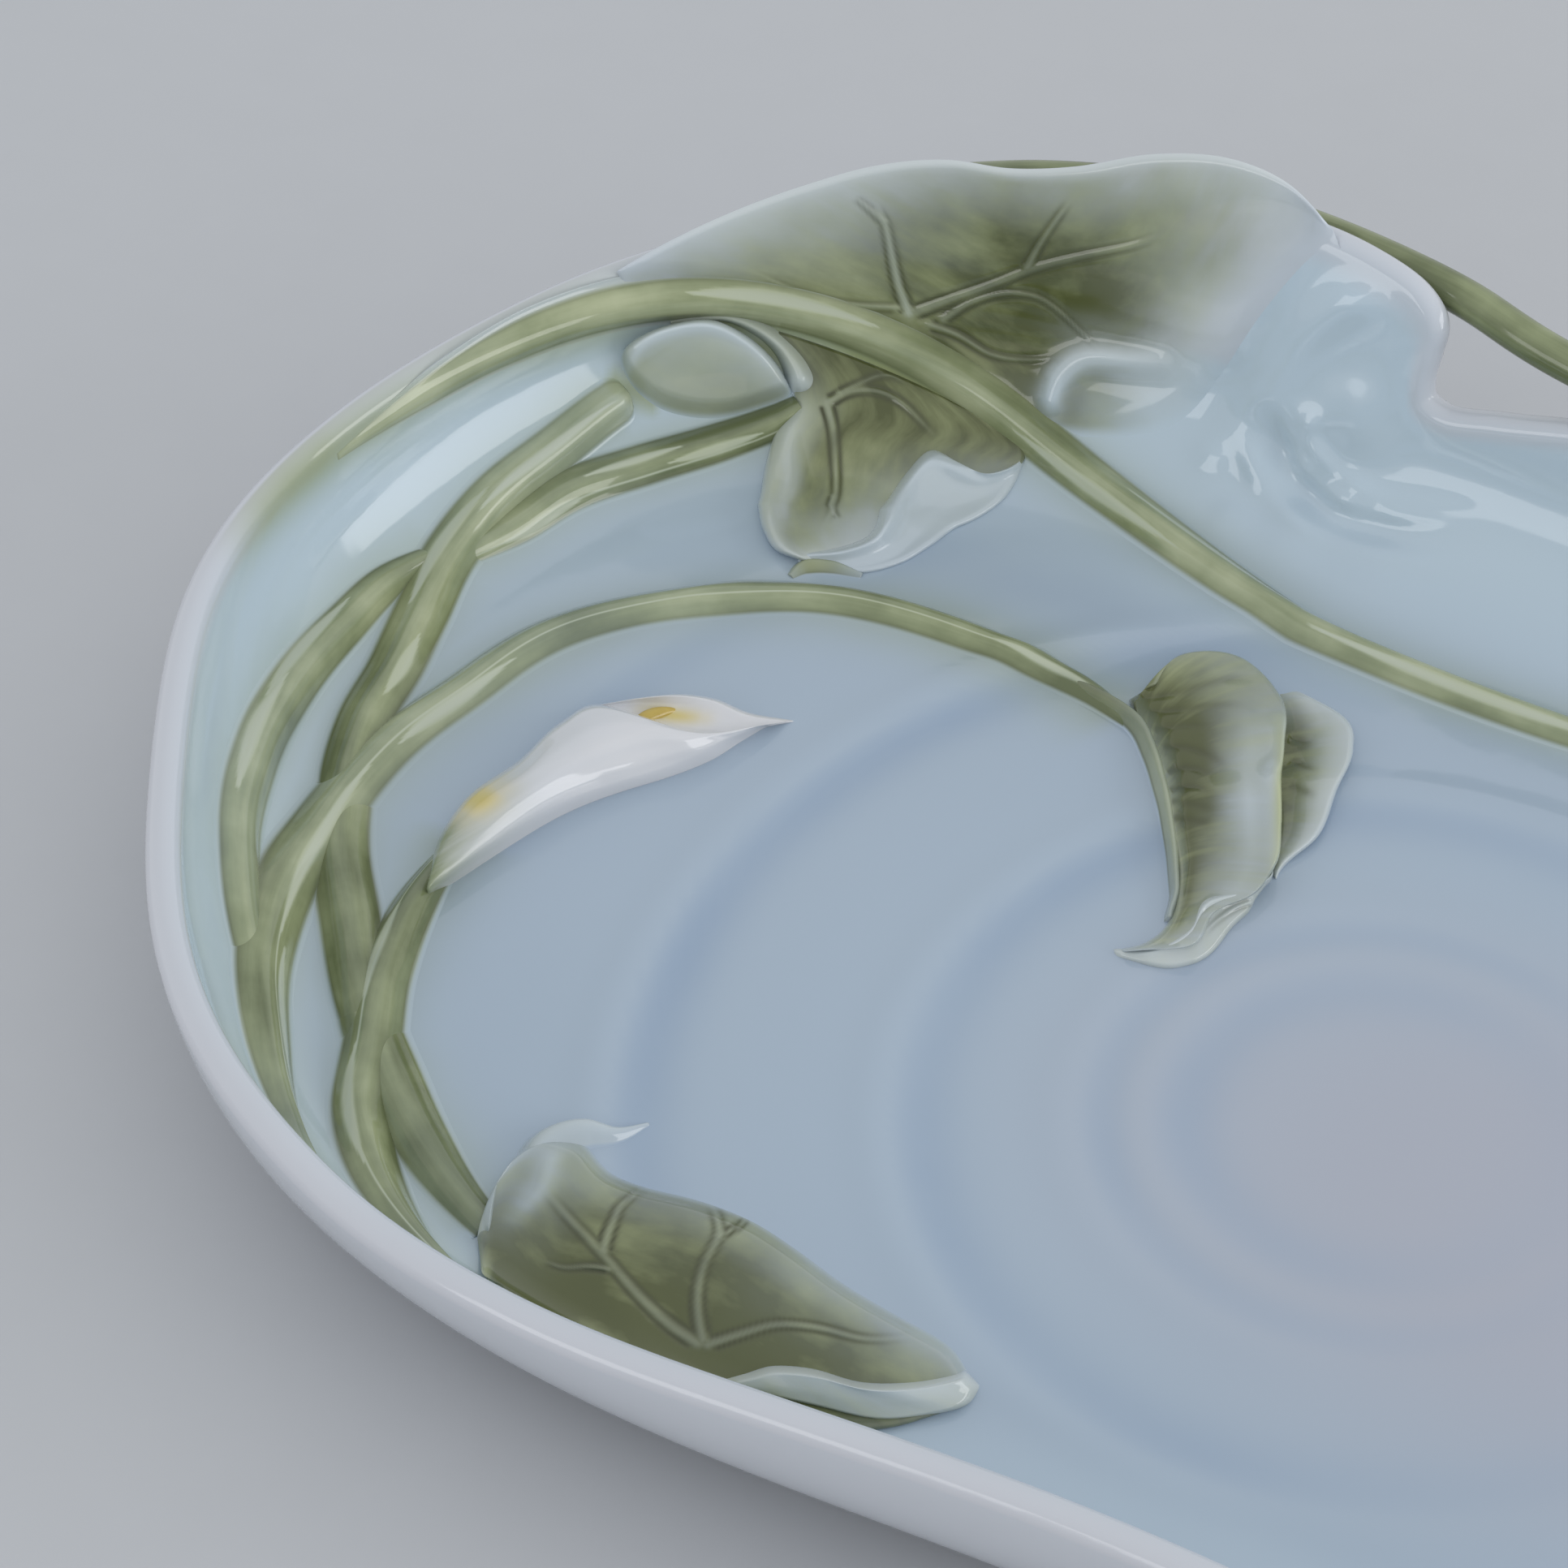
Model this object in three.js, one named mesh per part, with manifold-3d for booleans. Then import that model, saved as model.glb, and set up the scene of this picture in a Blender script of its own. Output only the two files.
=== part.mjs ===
import * as THREE from 'three';
import Module from 'manifold-3d';

// Main sizes of the dish, in millimetres and degrees
const DISH_LENGTH = 320;
const DISH_WIDTH = 184;
const RIM_HEIGHT = 28;
const FLOOR_TOP = 8;
const WALL_SPREAD = 19;
const BACK_SPREAD = 5;
const WALL_LEAN = 86;
const CREST_FLARE = 24;
const SHELL = 4.2;
const FOOT_INSET = 9;
const FOOT_WIDTH = 6;
const FOOT_FLARE = 1;
const VINE_RADIUS = 2.6;
const CENTRE_SHIFT = -4.6;

// Sprigs sit this clear of what they rest on, and start this deep before they are trimmed
const GAP = 0.3;
const SINK = 1.5;

// Rim outline: an ellipse warped by a few even waves, as [waves per turn, cosine, sine]
const OUTLINE_MEAN = 1.049;
const OUTLINE_WAVES = [[2, -0.022, -0.034], [4, -0.06, -0.012], [6, 0.026, 0.008]];

// Places on the dish are [bearing, climb]: bearing in degrees round the dish from +X towards +Y,
// climb 0 at the middle of the floor, 1 at the foot of the wall, 2 at the plain rim and more above it
const RIM_EDGE = [
  [0, 2], [30, 2], [56, 2.06], [74, 2.2], [86, 2.26], [94, 2.18], [99, 2.07], [101.6, 2.02],
  [103, 2.06], [103.7, 2.18], [103.7, 2.32], [103.3, 2.43], [104, 2.51], [106, 2.59], [109.5, 2.63],
  [116, 2.56], [126, 2.34], [136, 2.17], [148, 2.07], [164, 2.04], [182, 2], [200, 2], [220, 1.98],
  [234, 1.95], [241, 1.89], [248, 1.9], [258, 1.97], [270, 2], [300, 2], [330, 2], [360, 2],
];
const EDGE_FAN = 28;
const BEARING_UNIT = 20;

// How finely the forms are faceted
const COLUMN_TURN = 4;
const FOOT_COLUMNS = 60;
const FLOOR_RINGS = [0.5, 1];
const WALL_STEPS = 8;
const LIP_STEPS = 4;
const SPAN_STEPS = 3;
const STEM_SIDES = 5;
const LEAF_ACROSS = 7;
const ROUND_SIDES = 10;

// Glaze colours
const GLAZE = 0xc3d6e4;
const STEM_GREEN = 0x8f9a5e;
const LEAF_GREEN = 0x848f58;
const LEAF_EDGE = 0xcfdccb;
const PETAL = 0xece9ea;
const POLLEN = 0xe0bb4a;

const wasm = await Module();
wasm.setup();

const clamp = THREE.MathUtils.clamp;
const lerp = THREE.MathUtils.lerp;
const toRadians = THREE.MathUtils.degToRad;
const leanAngle = toRadians(WALL_LEAN);
const flareAngle = toRadians(CREST_FLARE);

// Rim outline in plan at an angle in radians, drawn smaller by an inset of its two half sizes
function outlinePlan(angle, inset) {
  let reach = OUTLINE_MEAN;
  for (const [waves, cosine, sine] of OUTLINE_WAVES) {
    reach += cosine * Math.cos(waves * angle) + sine * Math.sin(waves * angle);
  }
  const x = (DISH_LENGTH / 2 - inset) * reach * Math.cos(angle);
  const y = (DISH_WIDTH / 2 - inset) * reach * Math.sin(angle);
  return new THREE.Vector2(x, y);
}

// The rim outline moved squarely inwards
function insetPlan(angle, inset) {
  const step = 1e-4;
  const along = outlinePlan(angle + step, 0).sub(outlinePlan(angle - step, 0)).normalize();
  const outward = new THREE.Vector2(along.y, -along.x);
  return outlinePlan(angle, 0).addScaledVector(outward, -inset);
}

// Point of the dish's upper surface: floor, a quarter-round wall that is wider at the back, and above
// the plain rim a crest that carries on upwards and flares
function surfacePoint([bearing, climb]) {
  const angle = toRadians(bearing);
  const wall = WALL_SPREAD + BACK_SPREAD * Math.sin(angle);
  const turn = clamp(climb - 1, 0, 1) * leanAngle;
  const bend = 1 - Math.cos(leanAngle);
  const rise = (RIM_HEIGHT - FLOOR_TOP) / bend;
  const crest = Math.max(climb - 2, 0);
  const crestLength = rise * leanAngle * Math.sin(leanAngle) * crest;
  const crestLean = leanAngle - flareAngle * crest / 2;
  const inset = wall * (1 - Math.sin(turn) / Math.sin(leanAngle)) - crestLength * Math.cos(crestLean);
  const height = FLOOR_TOP + rise * (1 - Math.cos(turn)) + crestLength * Math.sin(crestLean);
  const plan = insetPlan(angle, inset).multiplyScalar(Math.min(climb, 1));
  return new THREE.Vector3(plan.x, plan.y, height);
}

// Normal of the upper surface, up from the floor and inwards from the wall
function surfaceNormal([bearing, climb]) {
  const around = surfacePoint([bearing + 0.05, climb]).sub(surfacePoint([bearing - 0.05, climb]));
  const up = surfacePoint([bearing, climb + 0.001]).sub(surfacePoint([bearing, climb - 0.001]));
  return up.cross(around).normalize();
}

// A place raised above the upper surface
function raised(place, height) {
  return surfacePoint(place).addScaledVector(surfaceNormal(place), height);
}

// Smooth line through places, each with an optional third value, at a share of its spans
function placeLine(places) {
  const points = places.map(([bearing, climb, extra = 0]) => (
    new THREE.Vector3(bearing / BEARING_UNIT, climb, extra)));
  const curve = new THREE.CatmullRomCurve3(points);
  return (share) => {
    const point = curve.getPoint(clamp(share, 0, 1));
    return [point.x * BEARING_UNIT, point.y, point.z];
  };
}

// Straight-line values spread evenly from 0 to 1
function spread(values, share) {
  const at = clamp(share, 0, 1) * (values.length - 1);
  const low = Math.min(Math.floor(at), values.length - 2);
  return lerp(values[low], values[low + 1], at - low);
}

// Closed solid through rings of points, each ring turning the same way, with both ends capped
function loftSolid(rings) {
  const sides = rings[0].length;
  const points = rings.flat();
  const faces = [];
  for (let ring = 0; ring + 1 < rings.length; ring += 1) {
    for (let side = 0; side < sides; side += 1) {
      const here = ring * sides + side;
      const next = ring * sides + (side + 1) % sides;
      faces.push(here, next, here + sides, next, next + sides, here + sides);
    }
  }
  for (const [ring, flip] of [[0, true], [rings.length - 1, false]]) {
    const middle = new THREE.Vector3();
    rings[ring].forEach((point) => middle.addScaledVector(point, 1 / sides));
    const hub = points.push(middle) - 1;
    for (let side = 0; side < sides; side += 1) {
      const here = ring * sides + side;
      const next = ring * sides + (side + 1) % sides;
      faces.push(hub, flip ? next : here, flip ? here : next);
    }
  }
  return toSolid(points, faces);
}

function toSolid(points, faces) {
  const vertProperties = new Float32Array(points.flatMap((point) => point.toArray()));
  const triVerts = new Uint32Array(faces);
  const solid = new wasm.Manifold(new wasm.Mesh({ numProp: 3, vertProperties, triVerts }));
  if (solid.volume() > 0) return solid;
  const turned = triVerts.map((_, at) => faces[at - at % 3 + [0, 2, 1][at % 3]]);
  return new wasm.Manifold(new wasm.Mesh({ numProp: 3, vertProperties, triVerts: turned }));
}

// Places along the rim edge, close together where it turns sharply at the notch
function edgePlaces() {
  const edge = placeLine(RIM_EDGE);
  const spans = RIM_EDGE.length - 1;
  const places = [];
  for (let span = 0; span < spans; span += 1) {
    const turn = Math.abs(RIM_EDGE[span + 1][0] - RIM_EDGE[span][0]);
    const steps = Math.max(2, Math.round(turn / COLUMN_TURN));
    for (let step = 0; step < steps; step += 1) {
      const share = (span + step / steps) / spans;
      places.push({ rim: edge(share), ahead: edge(share + 0.05 / spans) });
    }
  }
  return places;
}

// The tray, grown all over by a clearance
function dishSolid(grow) {
  const columnRows = edgePlaces().map(({ rim, ahead }) => dishColumn(rim, ahead, grow));
  const columns = columnRows.length;
  const rows = columnRows[0].length;
  const points = columnRows.flat();
  const faces = [];
  for (let column = 0; column < columns; column += 1) {
    const next = (column + 1) % columns;
    for (let row = 0; row + 1 < rows; row += 1) {
      const here = column * rows + row;
      const there = next * rows + row;
      faces.push(here, there, here + 1, there, there + 1, here + 1);
    }
  }
  const topHub = points.push(new THREE.Vector3(0, 0, FLOOR_TOP + grow)) - 1;
  const underHub = points.push(new THREE.Vector3(0, 0, FLOOR_TOP - SHELL - grow)) - 1;
  for (let column = 0; column < columns; column += 1) {
    const next = (column + 1) % columns;
    faces.push(topHub, next * rows, column * rows);
    faces.push(underHub, column * rows + rows - 1, next * rows + rows - 1);
  }
  return toSolid(points, faces);
}

// One column of the tray: up the inside, round the lip and down the outside, fanned out below the crest
function dishColumn(rim, ahead, grow) {
  const [bearing, top] = rim;
  const foot = bearing + EDGE_FAN * (top - 2);
  const places = FLOOR_RINGS.map((climb) => [foot, climb]);
  for (let step = 1; step <= WALL_STEPS; step += 1) {
    const share = step / WALL_STEPS;
    places.push([lerp(foot, bearing, share), lerp(1, top, share)]);
  }
  const inside = places.map((place) => raised(place, grow));
  const outside = places.map((place) => raised(place, -SHELL - grow)).reverse();
  const normal = surfaceNormal(rim);
  const along = surfacePoint(ahead).sub(surfacePoint(rim)).normalize();
  const out = along.clone().cross(normal).normalize();
  const core = raised(rim, -SHELL / 2);
  const lip = [];
  for (let step = 1; step < LIP_STEPS; step += 1) {
    const turn = Math.PI * step / LIP_STEPS;
    const reach = SHELL / 2 + grow;
    const point = core.clone().addScaledVector(normal, reach * Math.cos(turn));
    lip.push(point.addScaledVector(out, reach * Math.sin(turn)));
  }
  return [...inside, ...lip, ...outside];
}

// Low ring under the flat of the floor
function footSolid() {
  const top = FLOOR_TOP - SHELL - GAP;
  const outer = WALL_SPREAD + BACK_SPREAD + FOOT_INSET;
  const inner = outer + FOOT_WIDTH;
  const section = [[outer, 0], [outer - FOOT_FLARE, top], [inner + FOOT_FLARE, top], [inner, 0]];
  const points = [];
  const faces = [];
  for (let column = 0; column < FOOT_COLUMNS; column += 1) {
    const angle = column / FOOT_COLUMNS * Math.PI * 2;
    for (const [inset, height] of section) {
      const plan = outlinePlan(angle, inset);
      points.push(new THREE.Vector3(plan.x, plan.y, height));
    }
    for (let side = 0; side < 4; side += 1) {
      const here = column * 4 + side;
      const next = column * 4 + (side + 1) % 4;
      const ahead = (column + 1) % FOOT_COLUMNS * 4;
      faces.push(here, ahead + side, next, next, ahead + side, ahead + (side + 1) % 4);
    }
  }
  return toSolid(points, faces);
}

// Half-round sprig laid along places of the surface, widths and heights spread from end to end
function stemSolid({ path, widths, heights }, grow) {
  const route = placeLine(path);
  const steps = (path.length - 1) * SPAN_STEPS;
  const rings = [];
  for (let step = 0; step <= steps; step += 1) {
    const share = step / steps;
    const place = route(share);
    const normal = surfaceNormal(place);
    const along = surfacePoint(route(share + 0.01)).sub(surfacePoint(route(share - 0.01))).normalize();
    const side = along.clone().cross(normal).normalize();
    const half = spread(widths, share) / 2 + grow;
    const height = spread(heights, share) + grow;
    const end = Math.floor(share) - Math.floor(1 - share);
    const base = surfacePoint(place).addScaledVector(along, end * grow);
    const ring = [];
    for (let turn = 0; turn <= STEM_SIDES; turn += 1) {
      const angle = Math.PI * turn / STEM_SIDES;
      const point = base.clone().addScaledVector(side, half * Math.cos(angle));
      ring.push(point.addScaledVector(normal, height * Math.sin(angle)));
    }
    ring.push(base.clone().addScaledVector(side, -half).addScaledVector(normal, -SINK));
    ring.push(base.clone().addScaledVector(side, half).addScaledVector(normal, -SINK));
    rings.push(ring);
  }
  return loftSolid(rings);
}

// Leaf between two margins, with its height given across it: first margin, middle, second margin
function leafSolid({ left, right, rise }, grow) {
  const steps = (left.length - 1) * SPAN_STEPS;
  const leftLine = placeLine(left);
  const rightLine = placeLine(right);
  const rings = [];
  for (let step = 0; step <= steps; step += 1) {
    const share = step / steps;
    const [from, to] = [leftLine(share), rightLine(share)];
    const taper = Math.sqrt(Math.sin(Math.PI * lerp(0.06, 0.94, share)));
    const top = [];
    const under = [];
    for (let across = 0; across <= LEAF_ACROSS; across += 1) {
      const part = across / LEAF_ACROSS;
      const place = [lerp(from[0], to[0], part), lerp(from[1], to[1], part)];
      top.push(raised(place, spread(rise, part) * taper + grow));
      under.unshift(raised(place, -SINK));
    }
    rings.push([...top, ...under]);
  }
  return loftSolid(rings);
}

// Round spindle along raised places, with its radius spread from end to end
function spindleSolid({ path, radii }, grow) {
  const route = placeLine(path);
  const steps = (path.length - 1) * SPAN_STEPS;
  const centre = (share) => {
    const [bearing, climb, height] = route(share);
    return raised([bearing, climb], height);
  };
  const rings = [];
  for (let step = 0; step <= steps; step += 1) {
    const share = step / steps;
    const along = centre(share + 0.01).sub(centre(share - 0.01)).normalize();
    const side = along.clone().cross(new THREE.Vector3(0, 0, 1)).normalize();
    const up = side.clone().cross(along);
    const radius = spread(radii, share) + grow;
    const ring = [];
    for (let turn = 0; turn < ROUND_SIDES; turn += 1) {
      const angle = Math.PI * 2 * turn / ROUND_SIDES;
      const point = centre(share).addScaledVector(side, radius * Math.cos(angle));
      ring.push(point.addScaledVector(up, radius * Math.sin(angle)));
    }
    rings.push(ring);
  }
  return loftSolid(rings);
}

// Each sprig with what it gives way to
const SPRIGS = {
  main_vine: {
    make: stemSolid,
    path: [[168, 2.03], [159, 2.06], [151, 2.07], [145.5, 2.07], [141, 2.05], [136.5, 2], [132, 1.92],
      [127, 1.78], [122, 1.6], [117.5, 1.4], [113, 1.24], [107, 1.07], [101, 0.99], [95, 0.98], [88, 0.98],
      [78, 1.02], [67, 1.2], [57, 1.5], [49, 1.78]],
    widths: [2, 5, 6, 6, 6, 6, 6, 5.5, 5, 4.5, 4, 1.5],
    heights: [1.2, 2.8, 4.2, 4.5, 4.5, 4.4, 4.2, 4, 3.8, 3.4, 2.6, 1],
    colour: STEM_GREEN,
  },
  arching_stem: {
    make: stemSolid,
    path: [[237, 1.66], [231, 1.5], [224, 1.4], [215, 1.37], [207, 1.26], [200, 1.09], [191, 0.98],
      [178, 0.94], [163, 0.92], [150, 0.86], [136, 0.8], [127, 0.72], [120.5, 0.62]],
    widths: [1.5, 4, 6, 7, 7, 6.8, 6.5, 6, 5.5, 5, 4.8, 4.5, 4],
    heights: [1, 3, 4.2, 4.6, 4.6, 4.5, 4.4, 4.2, 4, 3.8, 3.6, 3.4, 3],
    colour: STEM_GREEN,
  },
  bud_stem: {
    make: stemSolid,
    path: [[246, 1.5], [241.5, 1.38], [236.5, 1.24], [231, 1.06], [224, 0.97], [215, 0.945], [204.5, 0.9]],
    widths: [1.5, 3.5, 5.5, 6.2, 6, 5.5, 5],
    heights: [1, 2.6, 4, 4.4, 4.4, 4.2, 4],
    colour: STEM_GREEN,
  },
  stalk_upper: {
    make: stemSolid,
    path: [[142, 1.62], [149, 1.5], [156, 1.43], [163, 1.32], [170, 1.17], [178, 1.06], [187, 1.04],
      [196, 1.03]],
    widths: [6, 6.5, 6.8, 6.8, 6.8, 6.5, 6, 5.5],
    heights: [4, 4.2, 4.2, 4.2, 4, 3.8, 3.4, 3],
    colour: STEM_GREEN,
    yields: ['arching_stem'],
  },
  stalk_middle: {
    make: stemSolid,
    path: [[196, 1.03], [203, 1], [211, 0.98], [220, 0.965]],
    widths: [6, 6.5, 6.5, 6],
    heights: [3, 3.2, 3.2, 3],
    colour: STEM_GREEN,
    yields: ['arching_stem', 'bud_stem'],
  },
  front_leaf_stalk: {
    make: stemSolid,
    path: [[220, 0.965], [227, 0.96], [233, 0.965], [239.2, 0.98]],
    widths: [6, 6.5, 6.2, 5],
    heights: [3, 3.4, 3.4, 3],
    colour: STEM_GREEN,
    yields: ['bud_stem'],
  },
  outer_stem: {
    make: stemSolid,
    path: [[162.5, 1.36], [169, 1.39], [177, 1.38], [187, 1.42], [196, 1.49], [204, 1.53], [211, 1.51],
      [218, 1.41]],
    widths: [3, 5, 5.5, 5.8, 5.8, 5.8, 5, 3.5],
    heights: [2, 3.4, 3.8, 4, 4, 4, 3.6, 3],
    colour: STEM_GREEN,
    yields: ['arching_stem', 'stalk_upper'],
  },
  leaf_stalk: {
    make: stemSolid,
    path: [[162, 1.3], [156, 1.28], [150, 1.31], [143, 1.3], [137, 1.33], [132.3, 1.41]],
    widths: [4, 5.5, 6, 6, 5.5, 4.5],
    heights: [2.5, 3.4, 3.8, 3.8, 3.6, 3.2],
    colour: STEM_GREEN,
    yields: ['stalk_upper'],
  },
  middle_leaf_roll: {
    make: stemSolid,
    path: [[142.6, 1.78], [140.5, 1.74], [138, 1.7], [135.5, 1.66], [133, 1.58], [130.8, 1.51]],
    widths: [2.5, 8, 11, 9.5, 6, 3.5],
    heights: [2, 5.5, 7, 6.5, 5, 3.5],
    colour: LEAF_GREEN,
    yields: ['main_vine', 'stalk_upper', 'leaf_stalk'],
  },
  middle_leaf_fold: {
    make: stemSolid,
    path: [[132.3, 0.855], [129, 0.89], [125.5, 0.95], [122.3, 1.04], [120.3, 1.16], [119.4, 1.29]],
    widths: [2.5, 5.5, 7.5, 7.5, 5.5, 2.5],
    heights: [2, 4, 5, 5, 4, 2],
    colour: LEAF_EDGE,
    yields: ['main_vine', 'arching_stem'],
  },
  middle_leaf: {
    make: leafSolid,
    left: [[131.8, 1.48], [133.5, 1.22], [136, 0.99], [138.2, 0.9], [135.5, 0.84]],
    right: [[126.5, 1.62], [122.7, 1.44], [120.5, 1.24], [124, 0.97], [132, 0.85]],
    rise: [3, 2, 2.4, 3, 3],
    colour: LEAF_GREEN,
    yields: ['main_vine', 'arching_stem', 'leaf_stalk', 'middle_leaf_roll', 'middle_leaf_fold'],
  },
  back_leaf: {
    make: leafSolid,
    left: [[141, 2.07], [133.5, 1.94], [126.5, 1.77], [120.5, 1.55], [116, 1.66], [113, 1.86],
      [110.4, 2.25], [108.6, 2.5]],
    right: [[141.7, 2.18], [136, 2.32], [129, 2.53], [122.7, 2.66], [116.5, 2.8], [112.5, 2.87],
      [109.8, 2.78], [108.2, 2.66]],
    rise: [3.2, 2.2, 2.2, 2.8, 3.2],
    colour: LEAF_GREEN,
    yields: ['main_vine'],
  },
  curled_leaf: {
    make: leafSolid,
    left: [[119.7, 0.65], [121.2, 0.53], [126, 0.41], [140, 0.29], [163, 0.24], [183, 0.265]],
    right: [[115.2, 0.7], [109, 0.8], [107, 0.67], [112.5, 0.42], [126, 0.245], [174, 0.21]],
    rise: [3.4, 3.2, 4.6, 6, 4],
    colour: LEAF_GREEN,
    yields: ['arching_stem'],
  },
  curled_leaf_back: {
    make: leafSolid,
    left: [[106.4, 0.76], [106.7, 0.66], [110, 0.48], [117, 0.31]],
    right: [[104.3, 0.76], [102.4, 0.7], [105, 0.51], [115, 0.29]],
    rise: [2.4, 3, 4.2],
    colour: LEAF_GREEN,
    yields: ['curled_leaf'],
  },
  front_leaf_fold: {
    make: stemSolid,
    path: [[253.8, 1.1], [256.5, 1.02], [259.3, 0.95], [261.6, 0.9]],
    widths: [2, 8, 9, 5],
    heights: [1.5, 4, 4.4, 3],
    colour: LEAF_EDGE,
  },
  front_leaf: {
    make: leafSolid,
    left: [[239.5, 0.97], [235.5, 0.88], [236.5, 0.8], [242.5, 0.78], [249.5, 0.77], [257, 0.8],
      [261.5, 0.87]],
    right: [[241, 1.05], [244, 1.28], [248, 1.38], [252.5, 1.34], [256.5, 1.2], [260, 1.04], [262, 0.94]],
    rise: [3, 2, 1.8, 2.2, 3],
    colour: LEAF_GREEN,
    yields: ['front_leaf_stalk', 'bud_stem', 'front_leaf_fold'],
  },
};

// Calla bud: the rolled petal lies on the floor, and the spike lies in its mouth
const SPIKE = {
  path: [[178, 0.745, 7.6], [173, 0.73, 7.6], [169, 0.715, 7.2]],
  radii: [0.7, 1.2, 0.7],
};
const MOUTH = {
  path: [[178, 0.745, 9.2], [172, 0.72, 10], [165.5, 0.69, 9.4]],
  radii: [1.6, 3.4, 1.4],
};
const PETAL_ROLL = {
  path: [[208, 0.905, 2], [201.5, 0.87, 3], [195, 0.83, 3.6], [187.5, 0.79, 4.2], [180, 0.755, 4.8],
    [172.5, 0.725, 4.6], [166.5, 0.695, 3.4], [162, 0.655, 2.2]],
  radii: [2, 3.6, 5, 6.2, 6.8, 6, 3.6, 0.8],
};

function budSolids(dish, stem) {
  const spike = spindleSolid(SPIKE, 0);
  const hollow = spindleSolid(SPIKE, GAP).add(spindleSolid(MOUTH, 0));
  const petal = spindleSolid(PETAL_ROLL, 0).subtract(hollow).subtract(dish).subtract(stem);
  return { petal, spike };
}

// Vine behind the crest, carried on past the notch and down onto the back rim
const vineBehind = -(SHELL + GAP + VINE_RADIUS);
const vineOver = -SHELL / 2;
const HANDLE = {
  path: [[128, 2.42, vineBehind], [121, 2.56, vineBehind], [115, 2.64, vineBehind], [109.5, 2.62, vineBehind],
    [104, 2.55, vineBehind], [100.5, 2.5, lerp(vineBehind, vineOver, 0.4)],
    [96.7, 2.43, lerp(vineBehind, vineOver, 0.7)], [91, 2.37, lerp(vineBehind, vineOver, 0.8)],
    [85, 2.33, lerp(vineBehind, vineOver, 0.8)], [78, 2.28, lerp(vineBehind, vineOver, 0.85)],
    [71, 2.22, vineOver], [65, 2.15, vineOver]],
  radii: [0.4, 0.9, 1, 1, 1, 1, 1, 1, 0.95, 0.85, 0.7, 0.35].map((share) => share * VINE_RADIUS),
};

// The largest of what a cut leaves
function largestBody(solid) {
  const bodies = solid.decompose();
  return bodies.reduce((best, body) => (body.volume() > best.volume() ? body : best));
}

function toMesh(name, solid, colour) {
  const { numProp, vertProperties, triVerts } = largestBody(solid).getMesh();
  const geometry = new THREE.BufferGeometry();
  geometry.setAttribute('position', new THREE.BufferAttribute(vertProperties, numProp));
  geometry.setIndex(new THREE.BufferAttribute(triVerts, 1));
  const material = new THREE.MeshStandardMaterial({ color: colour, roughness: 0.12, metalness: 0 });
  const mesh = new THREE.Mesh(geometry, material);
  mesh.name = name;
  return mesh;
}

const dish = new THREE.Group();
dish.position.y = CENTRE_SHIFT;
const tray = dishSolid(0);
const trayClear = dishSolid(GAP);
dish.add(toMesh('dish_body', tray, GLAZE));
dish.add(toMesh('foot_ring', footSolid(), GLAZE));
for (const [name, sprig] of Object.entries(SPRIGS)) {
  let solid = sprig.make(sprig, 0).subtract(trayClear);
  for (const other of sprig.yields ?? []) {
    solid = solid.subtract(SPRIGS[other].make(SPRIGS[other], GAP));
  }
  dish.add(toMesh(name, solid, sprig.colour));
}
const bud = budSolids(trayClear, stemSolid(SPRIGS.bud_stem, GAP));
dish.add(toMesh('bud_spathe', bud.petal, PETAL));
dish.add(toMesh('bud_spadix', bud.spike, POLLEN));
dish.add(toMesh('handle_vine', spindleSolid(HANDLE, 0).subtract(trayClear), STEM_GREEN));

export default dish;
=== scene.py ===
import bpy
import math
import numpy as np
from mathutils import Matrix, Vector


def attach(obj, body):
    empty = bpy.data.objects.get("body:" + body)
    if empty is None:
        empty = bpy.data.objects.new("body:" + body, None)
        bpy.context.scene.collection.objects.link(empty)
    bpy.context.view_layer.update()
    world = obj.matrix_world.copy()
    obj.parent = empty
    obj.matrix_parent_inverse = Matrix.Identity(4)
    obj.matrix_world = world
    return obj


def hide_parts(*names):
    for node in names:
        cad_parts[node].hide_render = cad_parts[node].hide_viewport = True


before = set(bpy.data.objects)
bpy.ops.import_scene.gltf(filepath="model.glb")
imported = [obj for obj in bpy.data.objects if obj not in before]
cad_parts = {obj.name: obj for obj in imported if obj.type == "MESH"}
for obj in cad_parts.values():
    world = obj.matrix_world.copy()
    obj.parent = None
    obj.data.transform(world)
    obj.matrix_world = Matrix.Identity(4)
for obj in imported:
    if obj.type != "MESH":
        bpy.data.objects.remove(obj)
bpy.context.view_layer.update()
print("frame loaded:", len(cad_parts), "nodes")

# the dish's own form, in millimetres and degrees, as on the drawing
dishForm = {
    "halfLength": 160, "halfWidth": 92, "mean": 1.049,
    "waves": [(2, -0.022, -0.034), (4, -0.06, -0.012), (6, 0.026, 0.008)],
    "rimHeight": 28, "floorTop": 8, "wallSpread": 19,
    "backSpread": 5,  # the back wall leans out more than the front one
    "wallLean": 86, "crestFlare": 24, "shell": 4.2, "shift": -4.6, "fan": 28,
    "rimEdge": [
        (0, 2), (30, 2), (56, 2.06), (74, 2.2), (86, 2.26), (94, 2.18), (99, 2.07), (101.6, 2.02),
        (102.8, 2.07), (103.1, 2.18), (103, 2.32), (103, 2.43), (103.9, 2.52), (106, 2.59), (109.5, 2.63),
        (116, 2.56), (126, 2.34), (136, 2.17), (148, 2.07), (164, 2.04), (182, 2), (200, 2), (220, 1.98),
        (234, 1.95), (241, 1.89), (248, 1.9), (258, 1.97), (270, 2), (300, 2), (330, 2), (360, 2),
    ],
    "edgeSteps": 6000, "edgeSoften": 60,
    "finer": [(103, 5, 4), (104, 14, 0.8)],  # closer columns at the notch: bearing, spread, share
    "rimWhite": 0.6, "outerWhite": 0.85,
    "columns": 500, "floorRows": 80, "wallRows": 62, "lipRows": 14, "outerRows": 22, "underRows": 10,
}

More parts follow.
